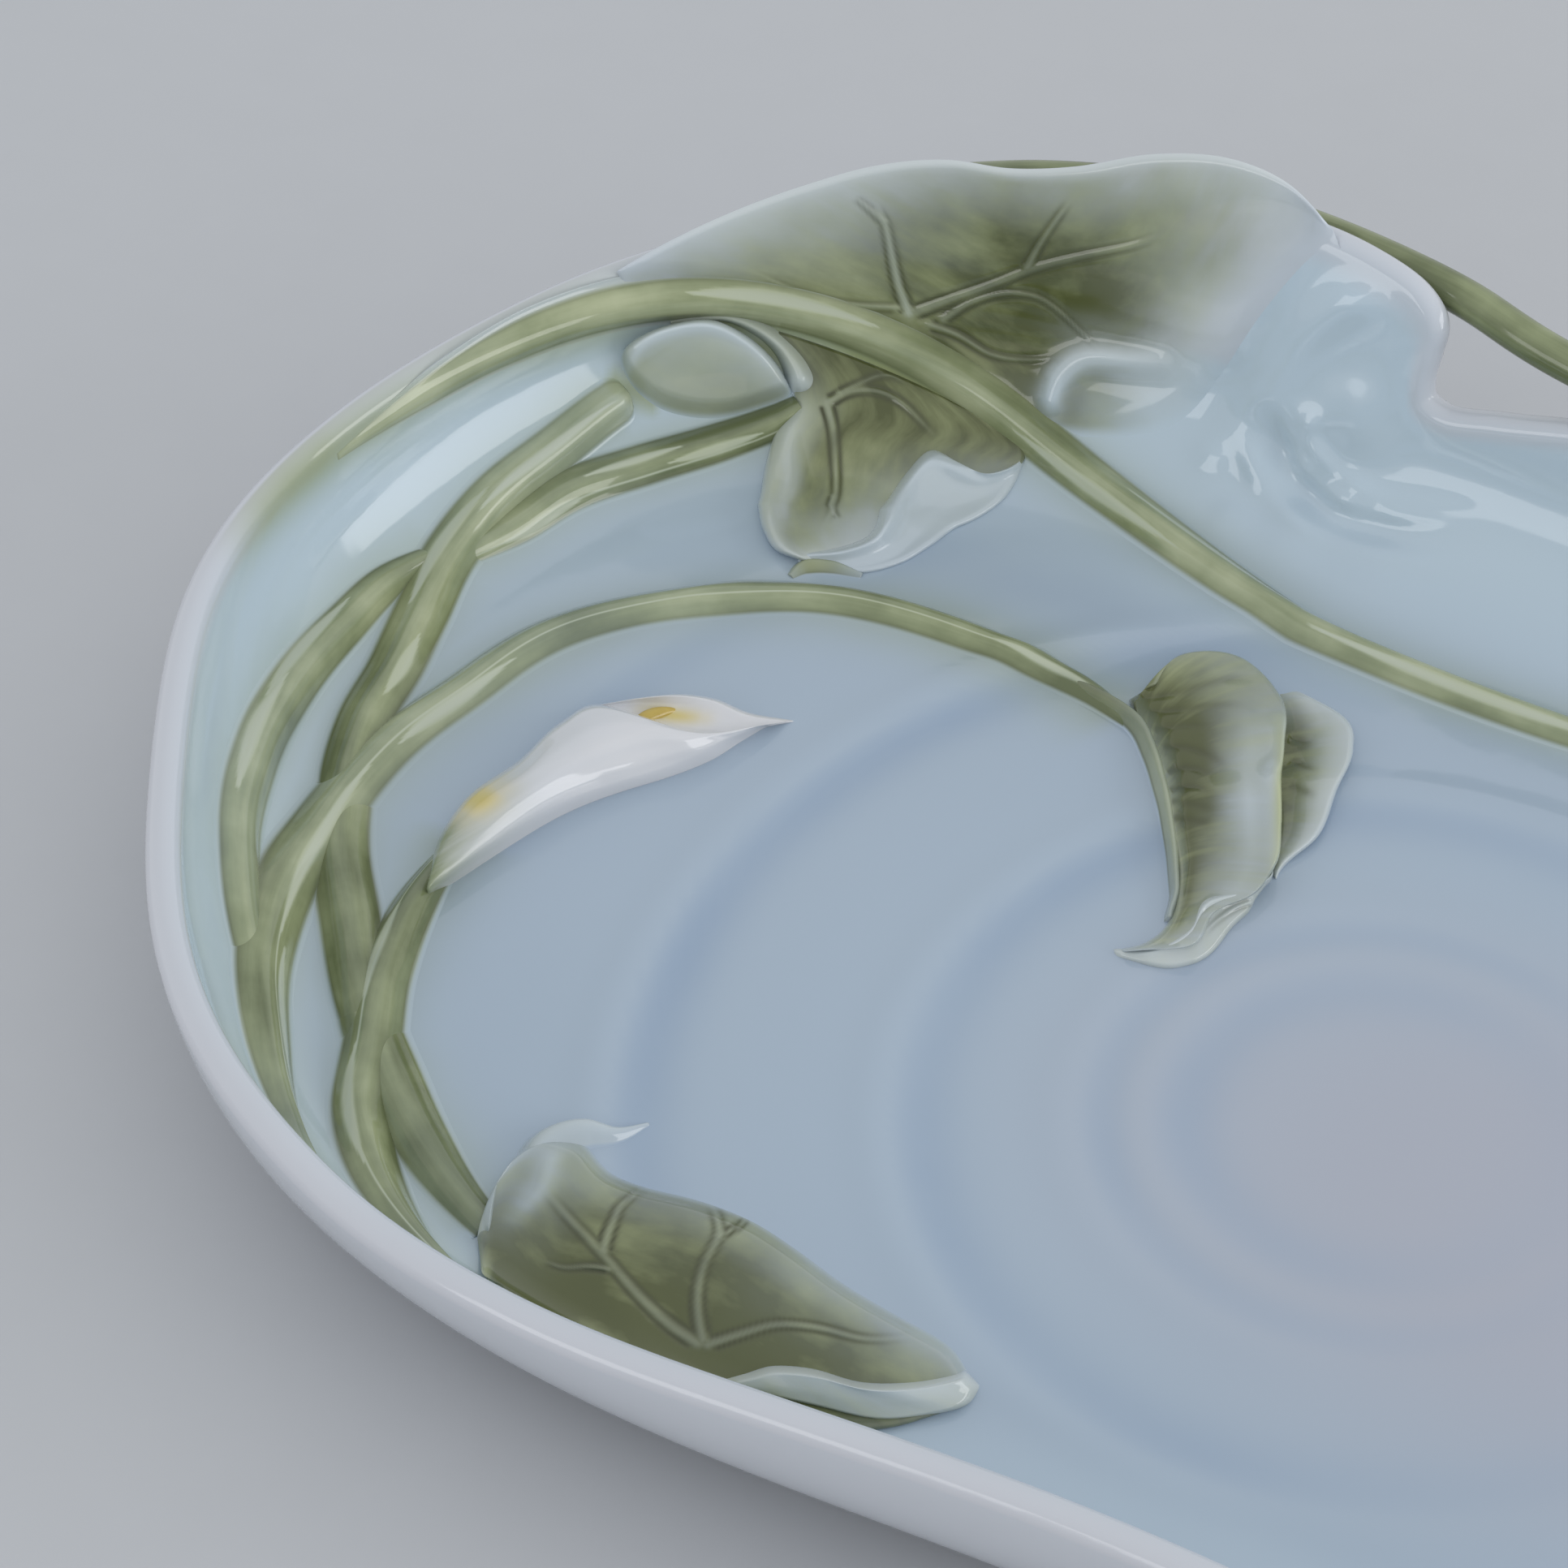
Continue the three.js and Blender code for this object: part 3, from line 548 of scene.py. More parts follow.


# stems, each from its start to its end; worn dashes, partly dry brush and partly painted highlight streaks, are start,
# end and lane
stems = {
    "main_vine": {
        "path": [
            (168, 1.98), (161, 1.995), (155, 2.01), (150, 2.02), (145.5, 2.02), (141, 2.01), (136.5, 1.98), (132, 1.91),
            (127, 1.78), (122, 1.6), (117.5, 1.4), (113, 1.24), (107, 1.07), (101, 0.99), (95, 0.98), (88, 0.98),
            (78, 1.02), (67, 1.2), (57, 1.5), (49, 1.78),
        ],
        "widths": [1, 4.5, 6, 6.4, 6.4, 6.4, 6.4, 6, 5.6, 5.2, 4.6, 3.6, 1.5],
        "heights": [0.05, 1.2, 2.6, 3.2, 3.6, 3.6, 3.6, 3.6, 3.4, 3.2, 2.8, 1.8, 0.6],
        "tint": [0.6, 0.8, 0.95, 1, 1, 1, 1, 1, 0.95, 0.95, 0.9, 0.7, 0.3],
        "shade": [-0.3, -0.3, -0.25, -0.2, -0.2, -0.25, -0.2, -0.2, -0.1, -0.1, 0], "rows": 340, "seed": 1,
        "worn": [(0.3, 0.42, -0.55), (0.5, 0.6, 0.5), (0.56, 0.74, -0.6), (0.66, 0.8, 0.35)],
    },
    "arching_stem": {
        "path": [
            (237, 1.66), (231, 1.5), (224, 1.4), (215, 1.35), (207, 1.24), (200, 1.08), (191, 0.98), (178, 0.942),
            (163, 0.926), (150, 0.868), (136, 0.804), (127, 0.72), (122.2, 0.66), (120.2, 0.6),
        ],
        "widths": [2, 5, 7.4, 8.4, 8.2, 7.6, 6.8, 6.2, 6, 5.8, 5.2, 4.4, 2],
        "heights": [0.8, 2.2, 3, 3.2, 3.2, 3, 2.8, 2.7, 2.6, 2.6, 2.6, 2.6, 1.8],
        "tint": [0.5, 0.9, 1, 1, 0.95, 0.9, 0.85, 0.8, 0.85, 0.95, 1, 1, 1],
        "shade": [0.1, 0.2, 0.1, 0, 0, 0, 0, 0, 0.05, 0.15, 0.2, 0.3], "rows": 260, "seed": 7,
        "worn": [(0.12, 0.24, 0.6), (0.24, 0.44, 0.3), (0.47, 0.58, 0.5), (0.84, 0.95, 0.25)],
    },
    "bud_stem": {
        "path": [
            (246, 1.5), (241.5, 1.38), (236.5, 1.24), (231, 1.06), (224, 0.97), (215, 0.945), (208, 0.922),
            (202, 0.897), (198, 0.88),
        ],
        "widths": [2, 4.4, 6.6, 7.4, 7, 6.4, 5.4, 3.6, 1], "heights": [0.8, 2, 2.8, 3.1, 3.1, 3.1, 3, 2, 0.5],
        "tint": [0.5, 0.9, 1, 1, 1, 1, 0.95, 0.9], "shade": [0.1, 0.1, 0.1, 0.15, 0.25, 0.3, 0.3], "seed": 13,
        "worn": [(0.3, 0.5, -0.5), (0.55, 0.75, -0.45)],
    },
    "stalk_upper": {
        "path": [
            (142, 1.62), (149, 1.5), (156, 1.43), (163, 1.32), (170, 1.17), (178, 1.06), (187, 1.04), (196, 1.03),
            (200, 1.015),
        ],
        "widths": [6, 6.6, 7, 7.2, 7.4, 7.2, 6.8, 5], "heights": [3, 3.2, 3.2, 3.2, 3, 2.8, 2.6, 1],
        "tint": [0.6, 0.75, 0.9, 1, 1, 1, 1, 1], "shade": [-0.4, -0.25, -0.1, 0.05, 0.2, 0.25, 0.2], "caps": (2.6, 0),
        "seed": 19, "worn": [(0.02, 0.3, 0.15), (0.25, 0.5, 0.55), (0.55, 0.7, -0.4)],
    },
    "stalk_middle": {
        "path": [(190, 1.035), (196, 1.025), (203, 1), (211, 0.98), (221, 0.965), (225, 0.962)],
        "widths": [5, 7.2, 7.4, 7.4, 6.8, 5], "heights": [0.6, 2.2, 2.4, 2.4, 2.2, 0.6], "tint": [1, 1, 1],
        "shade": [0.1, 0.15, 0.1], "rows": 70, "seed": 23,
    },
    "front_leaf_stalk": {
        "path": [(213, 0.975), (220, 0.966), (227, 0.96), (233, 0.965), (240.2, 0.98)], "widths": [5, 7, 7.4, 6.6, 4],
        "heights": [0.6, 2.2, 2.6, 2.4, 1.2], "crease": 0, "tint": [1, 1, 0.9], "shade": [0.1, 0.05, 0.1], "rows": 70,
        "seed": 29,
    },
    "outer_stem": {
        "path": [
            (161.5, 1.35), (169, 1.39), (177, 1.38), (187, 1.42), (196, 1.49), (204, 1.53), (211, 1.47), (216.5, 1.38),
            (221, 1.33),
        ],
        "widths": [2, 5, 6, 6.8, 7.4, 7.2, 6.6, 4], "heights": [1, 2.2, 2.7, 3, 3, 2.8, 2, 0.4],
        "tint": [0.9, 1, 0.9, 0.8, 0.85, 0.95, 1], "seed": 31, "worn": [(0.2, 0.42, 0.75), (0.36, 0.6, 0.6)],
    },
    "leaf_stalk": {
        "path": [(163, 1.3), (156, 1.28), (150, 1.31), (143, 1.3), (137, 1.33), (133, 1.4), (131.2, 1.47)],
        "widths": [3, 5.5, 6.2, 6.2, 5.8, 5, 3.5], "heights": [1.4, 2.5, 2.9, 2.9, 2.8, 2.6, 2],
        "tint": [0.9, 0.95, 0.9, 1, 1, 1], "shade": [0, 0, 0.1, 0.25, 0.4, 0.5], "seed": 37,
        "worn": [(0.1, 0.36, 0.7), (0.36, 0.6, -0.1), (0.55, 0.8, 0.5)],
    },
}


stemHalo = {"strength": 0.42, "share": 0.62, "margin": 1.2, "ending": 0.04}
haloEnding = 0.2


# olive glaze that has run together along the stems and the runs above, which in the hollows by the middle leaf is also
# painted shade
def oliveShare(points):
    runs = [(*run, haloEnding) for run in haloForm]
    for form in stems.values():
        width = stemHalo["share"] * max(form["widths"]) + stemHalo["margin"]
        runs.append((form["path"], width, stemHalo["strength"], stemHalo["ending"]))
    olive = np.zeros(points.shape[:-1])
    for path, width, strength, ending in runs:
        apart, where = nearLine(points, path)
        ends = smoothStep(0, ending, where) * smoothStep(1, 1 - ending, where)
        olive = np.maximum(olive, strength * np.exp(-((apart / width) ** 2)) * ends)
    return olive


groundForm = {"lilacAt": (34, -14), "lilacReach": (92, 58), "trough": 1.8, "crest": 1.4}


# marks that tell the ground colour at a spot of the floor or wall
def groundMarks(points, climb):
    crest, trough = ripples(points[..., 0], points[..., 1])
    floor = 1 - smoothStep(0.9, 1.02, climb)
    middle = (points[..., :2] - groundForm["lilacAt"]) / groundForm["lilacReach"]
    middle = np.hypot(middle[..., 0], middle[..., 1])
    return {
        "wall": 0.4 * smoothStep(0.86, 1.0, climb) + 0.6 * smoothStep(1.0, 1.7, climb),
        "pool": np.clip(trough * groundForm["trough"] - crest * groundForm["crest"], 0, 1) * floor,
        "lilac": smoothStep(1.0, 0.25, middle) * floor,
        "rim": dishForm["rimWhite"] * smoothStep(1.93, 2.02, climb),
    }


broadFlow = 3


# thin runs fade at both ends and beat a little, broad ones stay even
def flowSwell(points):
    swell = 0 * points[..., 0]
    for path, width, height in flowForm:
        apart, where = nearLine(points, path)
        fades = smoothStep(0, 0.15, where) * smoothStep(1, 0.55, where)
        fades = fades * (1 + 0.3 * np.sin(23 * where + 9 * height))
        swell = swell + height * np.exp(-((apart / width) ** 2)) * (fades if width < broadFlow else 1)
    return swell


def buildDish():
    edge = placeLine(dishForm["rimEdge"], dishForm["edgeSteps"], dishForm["edgeSoften"])
    bearing, top = edge[:, 0], edge[:, 1]
    dense = 1 + 0 * bearing[:-1]
    for middle, spread, share in dishForm["finer"]:
        dense = dense + share * np.exp(-(((bearing[:-1] - middle) / spread) ** 2))
    length = np.concatenate([[0], np.cumsum(stepsAlong(dishPoint(bearing, top)) * dense)])
    at = np.linspace(0, length[-1], dishForm["columns"] + 1)
    bearing, top = np.interp(at, length, bearing), np.interp(at, length, top)
    foot = bearing + dishForm["fan"] * (top - 2)
    shell, rimWhite, outerWhite = dishForm["shell"], dishForm["rimWhite"], dishForm["outerWhite"]
    flat = 0 * foot
    sheet = []  # rows of points, white and climb: floor, wall, lip, outside, underside
    for climb in np.linspace(0, 1, dishForm["floorRows"]):
        sheet.append((dishPoint(foot, climb + flat), flat, climb + flat))
    for share in np.linspace(0, 1, dishForm["wallRows"] + 1)[1:]:
        climb = 1 + (top - 1) * share
        around = foot + (bearing - foot) * share
        spot = dishPoint(around, climb)
        swell = flowSwell(spot) * smoothStep(1.0, 0.9, share)
        spot = spot + dishNormal(around, climb) * swell[:, None]
        sheet.append((spot, smoothStep(0.93, 1.0, share) * rimWhite + flat, climb))
    rim, normal = dishPoint(bearing, top), dishNormal(bearing, top)
    along = np.roll(rim[:-1], -1, axis=0) - np.roll(rim[:-1], 1, axis=0)
    out = unit(np.cross(np.vstack([along, along[:1]]), normal))
    for step in range(1, dishForm["lipRows"]):
        turn = math.pi * step / dishForm["lipRows"]
        lip = rim - normal * shell / 2 * (1 - math.cos(turn)) + out * shell / 2 * math.sin(turn)
        sheet.append((lip, rimWhite + (1 - rimWhite) * math.sin(turn / 2) + flat, 2 + flat))
    for share in np.linspace(1, 0, dishForm["outerRows"]):
        outer = lifted(foot + (bearing - foot) * share, 1 + (top - 1) * share, flat - shell)
        sheet.append((outer, outerWhite + flat, 2 + flat))
    for climb in np.linspace(1, 0, dishForm["underRows"] + 1)[1:]:
        under = dishPoint(foot, climb + flat, False)
        under[:, 2] -= shell
        sheet.append((under, outerWhite + flat, 2 + flat))
    points, rimMark, climbs = (np.stack(rows) for rows in zip(*sheet))
    marks = groundMarks(points, climbs)
    marks["rim"] = rimMark
    inner = dishForm["floorRows"] + dishForm["wallRows"] + dishForm["lipRows"] // 2
    marks["olive"] = np.zeros(rimMark.shape)
    marks["olive"][:inner] = oliveShare(points[:inner])
    return wrapGrid("dishBody", points, marks)


dishPiece = buildDish()
settle(dishPiece, "dish_body", porcelain)
print("dish wrapped:", len(dishPiece.data.polygons), "faces")

footForm = {"outer": 33, "inner": 39, "flare": 1, "round": 0.9, "columns": 160, "white": 0.9}


def buildFoot():
    top = dishForm["floorTop"] - dishForm["shell"]
    low = footForm["round"]
    section = []
    for turn in np.linspace(0, math.pi / 2, 5):  # rounded wear edges underneath
        section.append((footForm["outer"] + low * (1 - math.cos(turn)), low * (1 - math.sin(turn))))
    for turn in np.linspace(math.pi / 2, 0, 5):
        section.append((footForm["inner"] - low * (1 - math.cos(turn)), low * (1 - math.sin(turn))))
    section.append((footForm["inner"] + footForm["flare"], top))
    section.append((footForm["outer"] - footForm["flare"], top))
    section.append(section[0])
    angle = np.linspace(0, 2 * math.pi, footForm["columns"] + 1)
    rows = []
    for inset, height in section:
        x, y = outlineAt(angle, inset)
        rows.append(np.stack([x, y, height + 0 * angle], axis=-1))
    points = np.stack(rows)
    whole = np.ones(points.shape[:2])
    return wrapGrid("footRing", points, {"rim": footForm["white"] * whole, "wall": whole})


settle(buildFoot(), "foot_ring", porcelain)
print("foot ring turned")


nearForm = {"rounds": 5, "bearingLimit": 6, "climbLimit": 0.15}


# bearing and climb of the spot of the dish nearest to a point, found from a first guess
def nearestPlace(points, bearing, climb):
    mostBearing, mostClimb = nearForm["bearingLimit"], nearForm["climbLimit"]
    for _ in range(nearForm["rounds"]):
        miss = points - dishPoint(bearing, climb, False)
        around, up = dishSteps(bearing, climb)
        byBearing, byClimb = around / (2 * bearingStep), up / (2 * climbStep)
        square, cross, other = (
            (one * two).sum(axis=-1)
            for one, two in ((byBearing, byBearing), (byBearing, byClimb), (byClimb, byClimb))
        )
        first, second = (byBearing * miss).sum(axis=-1), (byClimb * miss).sum(axis=-1)
        whole = np.maximum(square * other - cross**2, 1e-9)
        bearing = bearing + np.clip((other * first - cross * second) / whole, -mostBearing, mostBearing)
        climb = climb + np.clip((square * second - cross * first) / whole, -mostClimb, mostClimb)
    return bearing, climb


# what a sprig has unless its own form says otherwise
sprigForm = {
    "pathSteps": 600, "pathSoften": 80, "rows": 150, "columns": 45, "reach": 1.4, "soften": 20,
    "low": 0.85, "fillet": 0.42, "sink": 0.07,
    "caps": (0, 0), "capWidth": 0.1, "capHeight": 0.05, "underStep": 6, "underWidth": 0.9, "underDepth": 1,
    "shade": [0, 0], "edgeShade": 0.22, "sheen": 0.1, "crease": 0.3, "creaseWidth": 0.09, "pale": 0,
    "worn": [], "dryHighlightWidth": 0.32, "dryHighlightTint": 0.3, "dryHighlightShade": 0.75, "dryHighlightPale": 0.8, "grain": (0.035, 0.36),
}


# a low rounded sprig luted on along a line of places, with a soft fillet at both feet
def sprig(name, ownForm):
    form = {**sprigForm, **ownForm}
    shares = easedShares(form["rows"])
    path = pickAlong(placeLine(form["path"], form["pathSteps"], form["pathSoften"]), shares)
    bearing, climb = path[:, 0], path[:, 1]
    spine = dishPoint(bearing, climb)
    side = unit(np.cross(np.gradient(spine, axis=0), dishNormal(bearing, climb)))
    travel = lengthAlong(spine)
    half, height, tint, shade = (
        spreadOver(form[label], shares, form["soften"]) for label in ("widths", "heights", "tint", "shade")
    )
    half, height = half / 2, height * form["low"]
    for cap, gone in zip(form["caps"], (travel, travel[-1] - travel)):
        if cap:
            rounded = np.sqrt(np.clip(1 - (1 - np.clip(gone / cap, 0, 1)) ** 2, 0, 1))
            half = half * (form["capWidth"] + (1 - form["capWidth"]) * rounded)
            height = height * (form["capHeight"] + (1 - form["capHeight"]) * rounded)
    across = np.linspace(-form["reach"], form["reach"], form["columns"])
    hump = 1 - across**2
    profile = (hump + np.sqrt(hump**2 + form["fillet"] ** 2)) / 2 - form["sink"]
    wide = half[:, None] * across
    below = across[::-1][:: form["underStep"]]
    low = half[:, None] * below * form["underWidth"]

    def beside(offset, lift):
        spots = spine[:, None] + side[:, None] * offset[..., None]
        return lifted(*nearestPlace(spots, bearing[:, None], climb[:, None]), lift)

    top = beside(wide, height[:, None] * profile)
    under = beside(low, 0 * low - form["underDepth"])
    ring = np.concatenate([top, under, top[:, :1]], axis=1)
    ends = [np.repeat(ring[end].mean(axis=0)[None], ring.shape[1], axis=0) for end in (0, -1)]
    points = np.concatenate([ends[:1], ring, ends[1:]])
    # worn dashes: along these lanes the green thins, lightens and goes pale, partly dry brush and partly painted
    # highlight streaks
    dryHighlight = 0 * wide
    for start, end, lane in form["worn"]:
        stretch = np.sin(math.pi * np.clip((shares - start) / (end - start), 0, 1))[:, None]
        away = np.abs(across[None] - lane) / (0.01 + form["dryHighlightWidth"] * stretch)
        dryHighlight = np.maximum(dryHighlight, smoothStep(1.0, 0.3, away))
    coat = smoothStep(0.01, 0.2, profile)[None]
    tint = tint[:, None] * coat * (1 - form["dryHighlightTint"] * dryHighlight)
    edge = form["edgeShade"] * np.abs(across)[None] ** 4 * tint
    foot = np.exp(-(((np.abs(across) - 1.0) / form["creaseWidth"]) ** 2))[None]
    far, near = form["grain"]
    marks = {
        "tint": tint,
        "shade": edge + shade[:, None] * coat - form["dryHighlightShade"] * dryHighlight,
        "ridge": form["sheen"] * smoothStep(0.85, 1.0, profile)[None] + 0 * wide,
        "crease": form["crease"] * foot * tint,
        "pale": np.maximum(form["pale"] * coat, form["dryHighlightPale"] * dryHighlight),
        "yellow": 0 * tint,
        "grain": np.stack([travel[:, None] * far + 0 * wide, wide * near, 0 * wide + form["seed"]], axis=-1),
    }
    ground = beside(wide, 0 * wide)
    marks.update(groundMarks(ground, climb[:, None] + 0 * wide))
    # the skirts take the same olive, with the painted shade in the hollows by the middle leaf
    marks["olive"] = oliveShare(ground)

    def allRound(values):
        blank = np.zeros((form["rows"], len(below)) + values.shape[2:])
        ringed = np.concatenate([values, blank, values[:, :1]], axis=1)
        return np.concatenate([ringed[:1], ringed, ringed[-1:]])

    return wrapGrid(name, points, {mark: allRound(values) for mark, values in marks.items()})


for node, form in stems.items():
    settle(sprig(node.replace("_", "."), form), node, stemGreen)
print("stems laid")


# what a leaf and its drawing have unless their own forms say otherwise
leafForm = {
    "marginSteps": 400, "marginSoften": 24, "paintSoften": 30, "meet": -0.4, "depth": 1.2, "underStep": 6,
    "shade": [[0, 0], [0, 0]], "pale": 0.75, "brush": (0.4, 0.06), "bare": (0, 0, 0, 0), "blend": (0, 0, 0, 0),
    "overFlow": False, "veins": [], "strokes": [], "folds": [], "creaseDepth": 0.16,
}
veinForm = {
    "taper": 0.55, "narrows": 0.45, "rib": 0.8, "height": 0.24, "pale": 0.28,
    "dark": 0.75, "darker": 1.25, "beside": 1.25, "line": 0.34, "core": 1.15,
}
strokeForm = {"width": 0.75, "depth": 0.1, "cover": 0.8}
foldForm = {"bare": 0.9, "bareReach": 1.3, "yellow": 0}


# veins: a pale rib with a dark line on both sides, which stops where another vein runs over it
def veinMarks(base, veins):
    swell, ridge, crease = (np.zeros(base.shape[:2]) for _ in range(3))
    lines, cores = [], []
    for ownForm in veins:
        vein = {**veinForm, **ownForm}
        apart, where = nearLine(base, vein["path"])
        fade = (1 - vein["taper"] * where) * smoothStep(1.0, 0.75, where)
        width = vein["width"] * (1 - vein["narrows"] * where)
        rib = np.exp(-((apart / (vein["rib"] * width)) ** 2)) * fade
        swell = np.maximum(swell, vein["height"] * rib)
        ridge = np.maximum(ridge, rib * vein["pale"])
        dark = min(1.0, vein["dark"] * vein["darker"])
        line = np.exp(-(((apart - vein["beside"] * width) / vein["line"]) ** 2))
        lines.append(line * fade * smoothStep(0, 0.04, where) * dark)
        cores.append(np.exp(-((apart / (vein["core"] * width)) ** 4)) * smoothStep(1.0, 0.9, where))
    for at, line in enumerate(lines):
        for core in cores[:at] + cores[at + 1 :]:
            line = line * (1 - core)
        crease = np.maximum(crease, line)
    return swell, ridge, crease


# share that falls to nothing within a width of each margin
def fadeOff(gone, widths):
    share = np.ones_like(gone[0])
    for away, width in zip(gone, widths):
        if width:
            share = share * smoothStep(0, width, away)
    return share


# a leaf laid between two margins, with its height and its green given across it
def leafSheet(name, ownForm):
    form = {**leafForm, **ownForm}
    rows, columns = form["grid"]
    along, across = easedShares(rows), easedShares(columns)
    left, right = (
        pickAlong(placeLine(form[side], form["marginSteps"], form["marginSoften"]), along) for side in ("left", "right")
    )
    bearing = left[:, :1] + (right[:, :1] - left[:, :1]) * across
    climb = evenClimb(left[:, 1:2])
    climb = plainClimb(climb + (evenClimb(right[:, 1:2]) - climb) * across)
    base = dishPoint(bearing, climb)
    stepAcross = np.linalg.norm(np.diff(base, axis=1), axis=2)
    fromLeft = np.concatenate([np.zeros((rows, 1)), np.cumsum(stepAcross, axis=1)], axis=1)
    stepAlong = np.linalg.norm(np.diff(base, axis=0), axis=2)
    fromStart = np.concatenate([np.zeros((1, columns)), np.cumsum(stepAlong, axis=0)], axis=0)
    gone = (fromLeft, fromLeft[:, -1:] - fromLeft, fromStart, fromStart[-1:] - fromStart)
    shoulder = np.ones_like(fromLeft)
    for worn, away in zip(form["round"], gone):  # edges are rounded, or run out softly where below nought
        if worn:
            share = np.clip(away / abs(worn), 0, 1)
            shoulder = shoulder * (smoothStep(0, 1, share) if worn < 0 else np.sqrt(1 - (1 - share) ** 2))
    tint = softTable(form["green"], along, across, form["paintSoften"])
    shade = softTable(form["shade"], along, across, form["paintSoften"])
    swell, ridge, crease = veinMarks(base, form["veins"])
    rise = softTable(form["rise"], along, across) + swell - form["creaseDepth"] * crease
    yellow = np.zeros_like(rise)
    for stroke in form["strokes"]:
        apart, where = nearLine(base, stroke["path"])
        fade = smoothStep(1.0, 0.5, where) * smoothStep(0.0, 0.08, where)
        line = np.exp(-((apart / strokeForm["width"]) ** 2)) * fade
        rise = rise - strokeForm["depth"] * line
        crease = np.maximum(crease, line * stroke["dark"] * strokeForm["cover"])
    for ownFold in form["folds"]:
        fold = {**foldForm, **ownFold}
        apart, where = nearLine(base, fold["path"])
        bulge = np.exp(-((apart / fold["width"]) ** 2))
        bulge = bulge * np.sin(math.pi * np.clip(0.06 + 0.88 * where, 0, 1)) ** 0.6
        rise = rise + fold["height"] * bulge
        tint = tint * (1 - fold["bare"] * np.clip(bulge * fold["bareReach"], 0, 1))
        yellow = np.maximum(yellow, bulge * fold["yellow"])
    if form["overFlow"]:
        rise = rise + flowSwell(base)
    meet, depth = form["meet"], form["depth"]
    top = leaned(bearing, climb, meet + (rise - meet) * shoulder)
    picked = np.r_[0 : columns : form["underStep"], columns - 1][::-1]
    under = leaned(bearing, climb, meet - (depth + meet) * shoulder)[:, picked]
    points = np.concatenate([top, under[:, 1:]], axis=1)
    soft = smoothStep(0.0, 0.6, shoulder)
    far, near = form["brush"]
    grain = (fromStart.mean(axis=1, keepdims=True) * far + 0 * rise, fromLeft * near, 0 * rise + form["seed"])
    marks = {
        "tint": np.clip(tint, 0, 1) * fadeOff(gone, form["bare"]) * soft,
        "shade": shade,
        "ridge": ridge * soft,
        "crease": crease * soft,
        "yellow": yellow,
        "pale": form["pale"] * fadeOff(gone, form["blend"]) * soft,
        "grain": np.stack(grain, axis=-1),
    }
    marks.update(groundMarks(base, climb))
    bothFaces = {
        mark: np.concatenate([values, values[:, picked][:, 1:]], axis=1) for mark, values in marks.items()
    }
    return wrapGrid(name, points, bothFaces)


backLeaf = {
    "left": [
        (141, 2.06), (133.5, 1.94), (126.5, 1.77), (121, 1.57), (118.6, 1.47), (115.6, 1.5), (112.9, 1.62),
        (111.3, 1.86), (110, 2.2), (108.4, 2.5), (107.4, 2.62),
    ],
    "right": [
        (141.7, 2.18), (136, 2.33), (131, 2.47), (127.5, 2.57), (124.5, 2.62), (121.8, 2.62), (119, 2.68), (116, 2.8),
        (113, 2.86), (110.4, 2.83), (108, 2.7),
    ],
    "rise": [
        [0.6, 0.8, 1, 1.2, 1.4], [0.8, 0.5, 0.8, 1.4, 2], [0.8, 0.5, 0.4, 0.8, 2.1], [0.5, 0.6, 0.4, 0.6, 1.9],
        [0.2, 0.4, 0.4, 0.6, 1.8], [0.1, 0.2, 0.5, 0.8, 1.5],
    ],
    "green": [
        [0.7, 0.5, 0.2, 0, 0], [1, 0.95, 0.75, 0.35, 0.05], [1, 1, 0.95, 0.75, 0.1], [0.8, 1, 1, 1, 0.4],
        [0, 0.25, 1, 0.95, 0.4], [0, 0, 0.6, 0.75, 0.3], [0, 0, 0.12, 0.15, 0.05], [0, 0, 0, 0, 0],
    ],
    "shade": [
        [0, 0, 0, 0, 0], [0, -0.1, -0.15, -0.1, 0], [0.2, 0.3, 0.3, 0.1, 0], [0.3, 0.5, 0.5, 0.3, 0],
        [0, 0.3, 0.45, 0.3, 0], [0, 0, 0.1, 0.1, 0], [0, 0, 0, 0, 0], [0, 0, 0, 0, 0],
    ],
    "round": (-6, 1.6, 2, -4), "bare": (0, 3, 0, 0), "blend": (16, 0, 0, 12), "overFlow": True, "meet": -0.1,
    "depth": 3, "grid": (300, 150), "seed": 41, "brush": (0.12, 0.2),
    "veins": [
        {"path": [(125.8, 1.89), (126.3, 2.01), (126.7, 2.16), (127.1, 2.31), (127.6, 2.4)], "width": 0.8, "pale": 0.8},
        {"path": [(127.1, 2.31), (127.9, 2.37), (128.6, 2.42)], "width": 0.5, "dark": 0.45},
        {
            "path": [
                (125.7, 1.89), (123.9, 1.98), (122.1, 2.08), (120.4, 2.19), (118.2, 2.3), (116.3, 2.39), (114.9, 2.48),
            ],
            "width": 0.8,
        },
        {"path": [(120.6, 2.19), (120, 2.34), (119, 2.54)], "width": 0.65},
        {
            "path": [(124.2, 1.88), (123.1, 1.97), (121.5, 2.05), (119.9, 2.06), (118, 1.94), (116.9, 1.86)],
            "width": 0.6,
        },
        {"path": [(124.8, 1.85), (123.4, 1.82), (121.8, 1.76), (120, 1.77), (118.5, 1.82)], "width": 0.6},
        {"path": [(126.4, 1.91), (128.5, 1.91), (131.2, 1.97), (134, 2.09)], "width": 0.55, "dark": 0.4},
    ],
    "folds": [
        {
            "path": [(118.6, 1.56), (118.8, 1.63), (118.6, 1.73), (117.7, 1.82), (116.1, 1.85), (114.4, 1.88)],
            "width": 1.8, "height": 1.6,
        },
    ],
}
settle(leafSheet("back.leaf", backLeaf), "back_leaf", leafGreen)

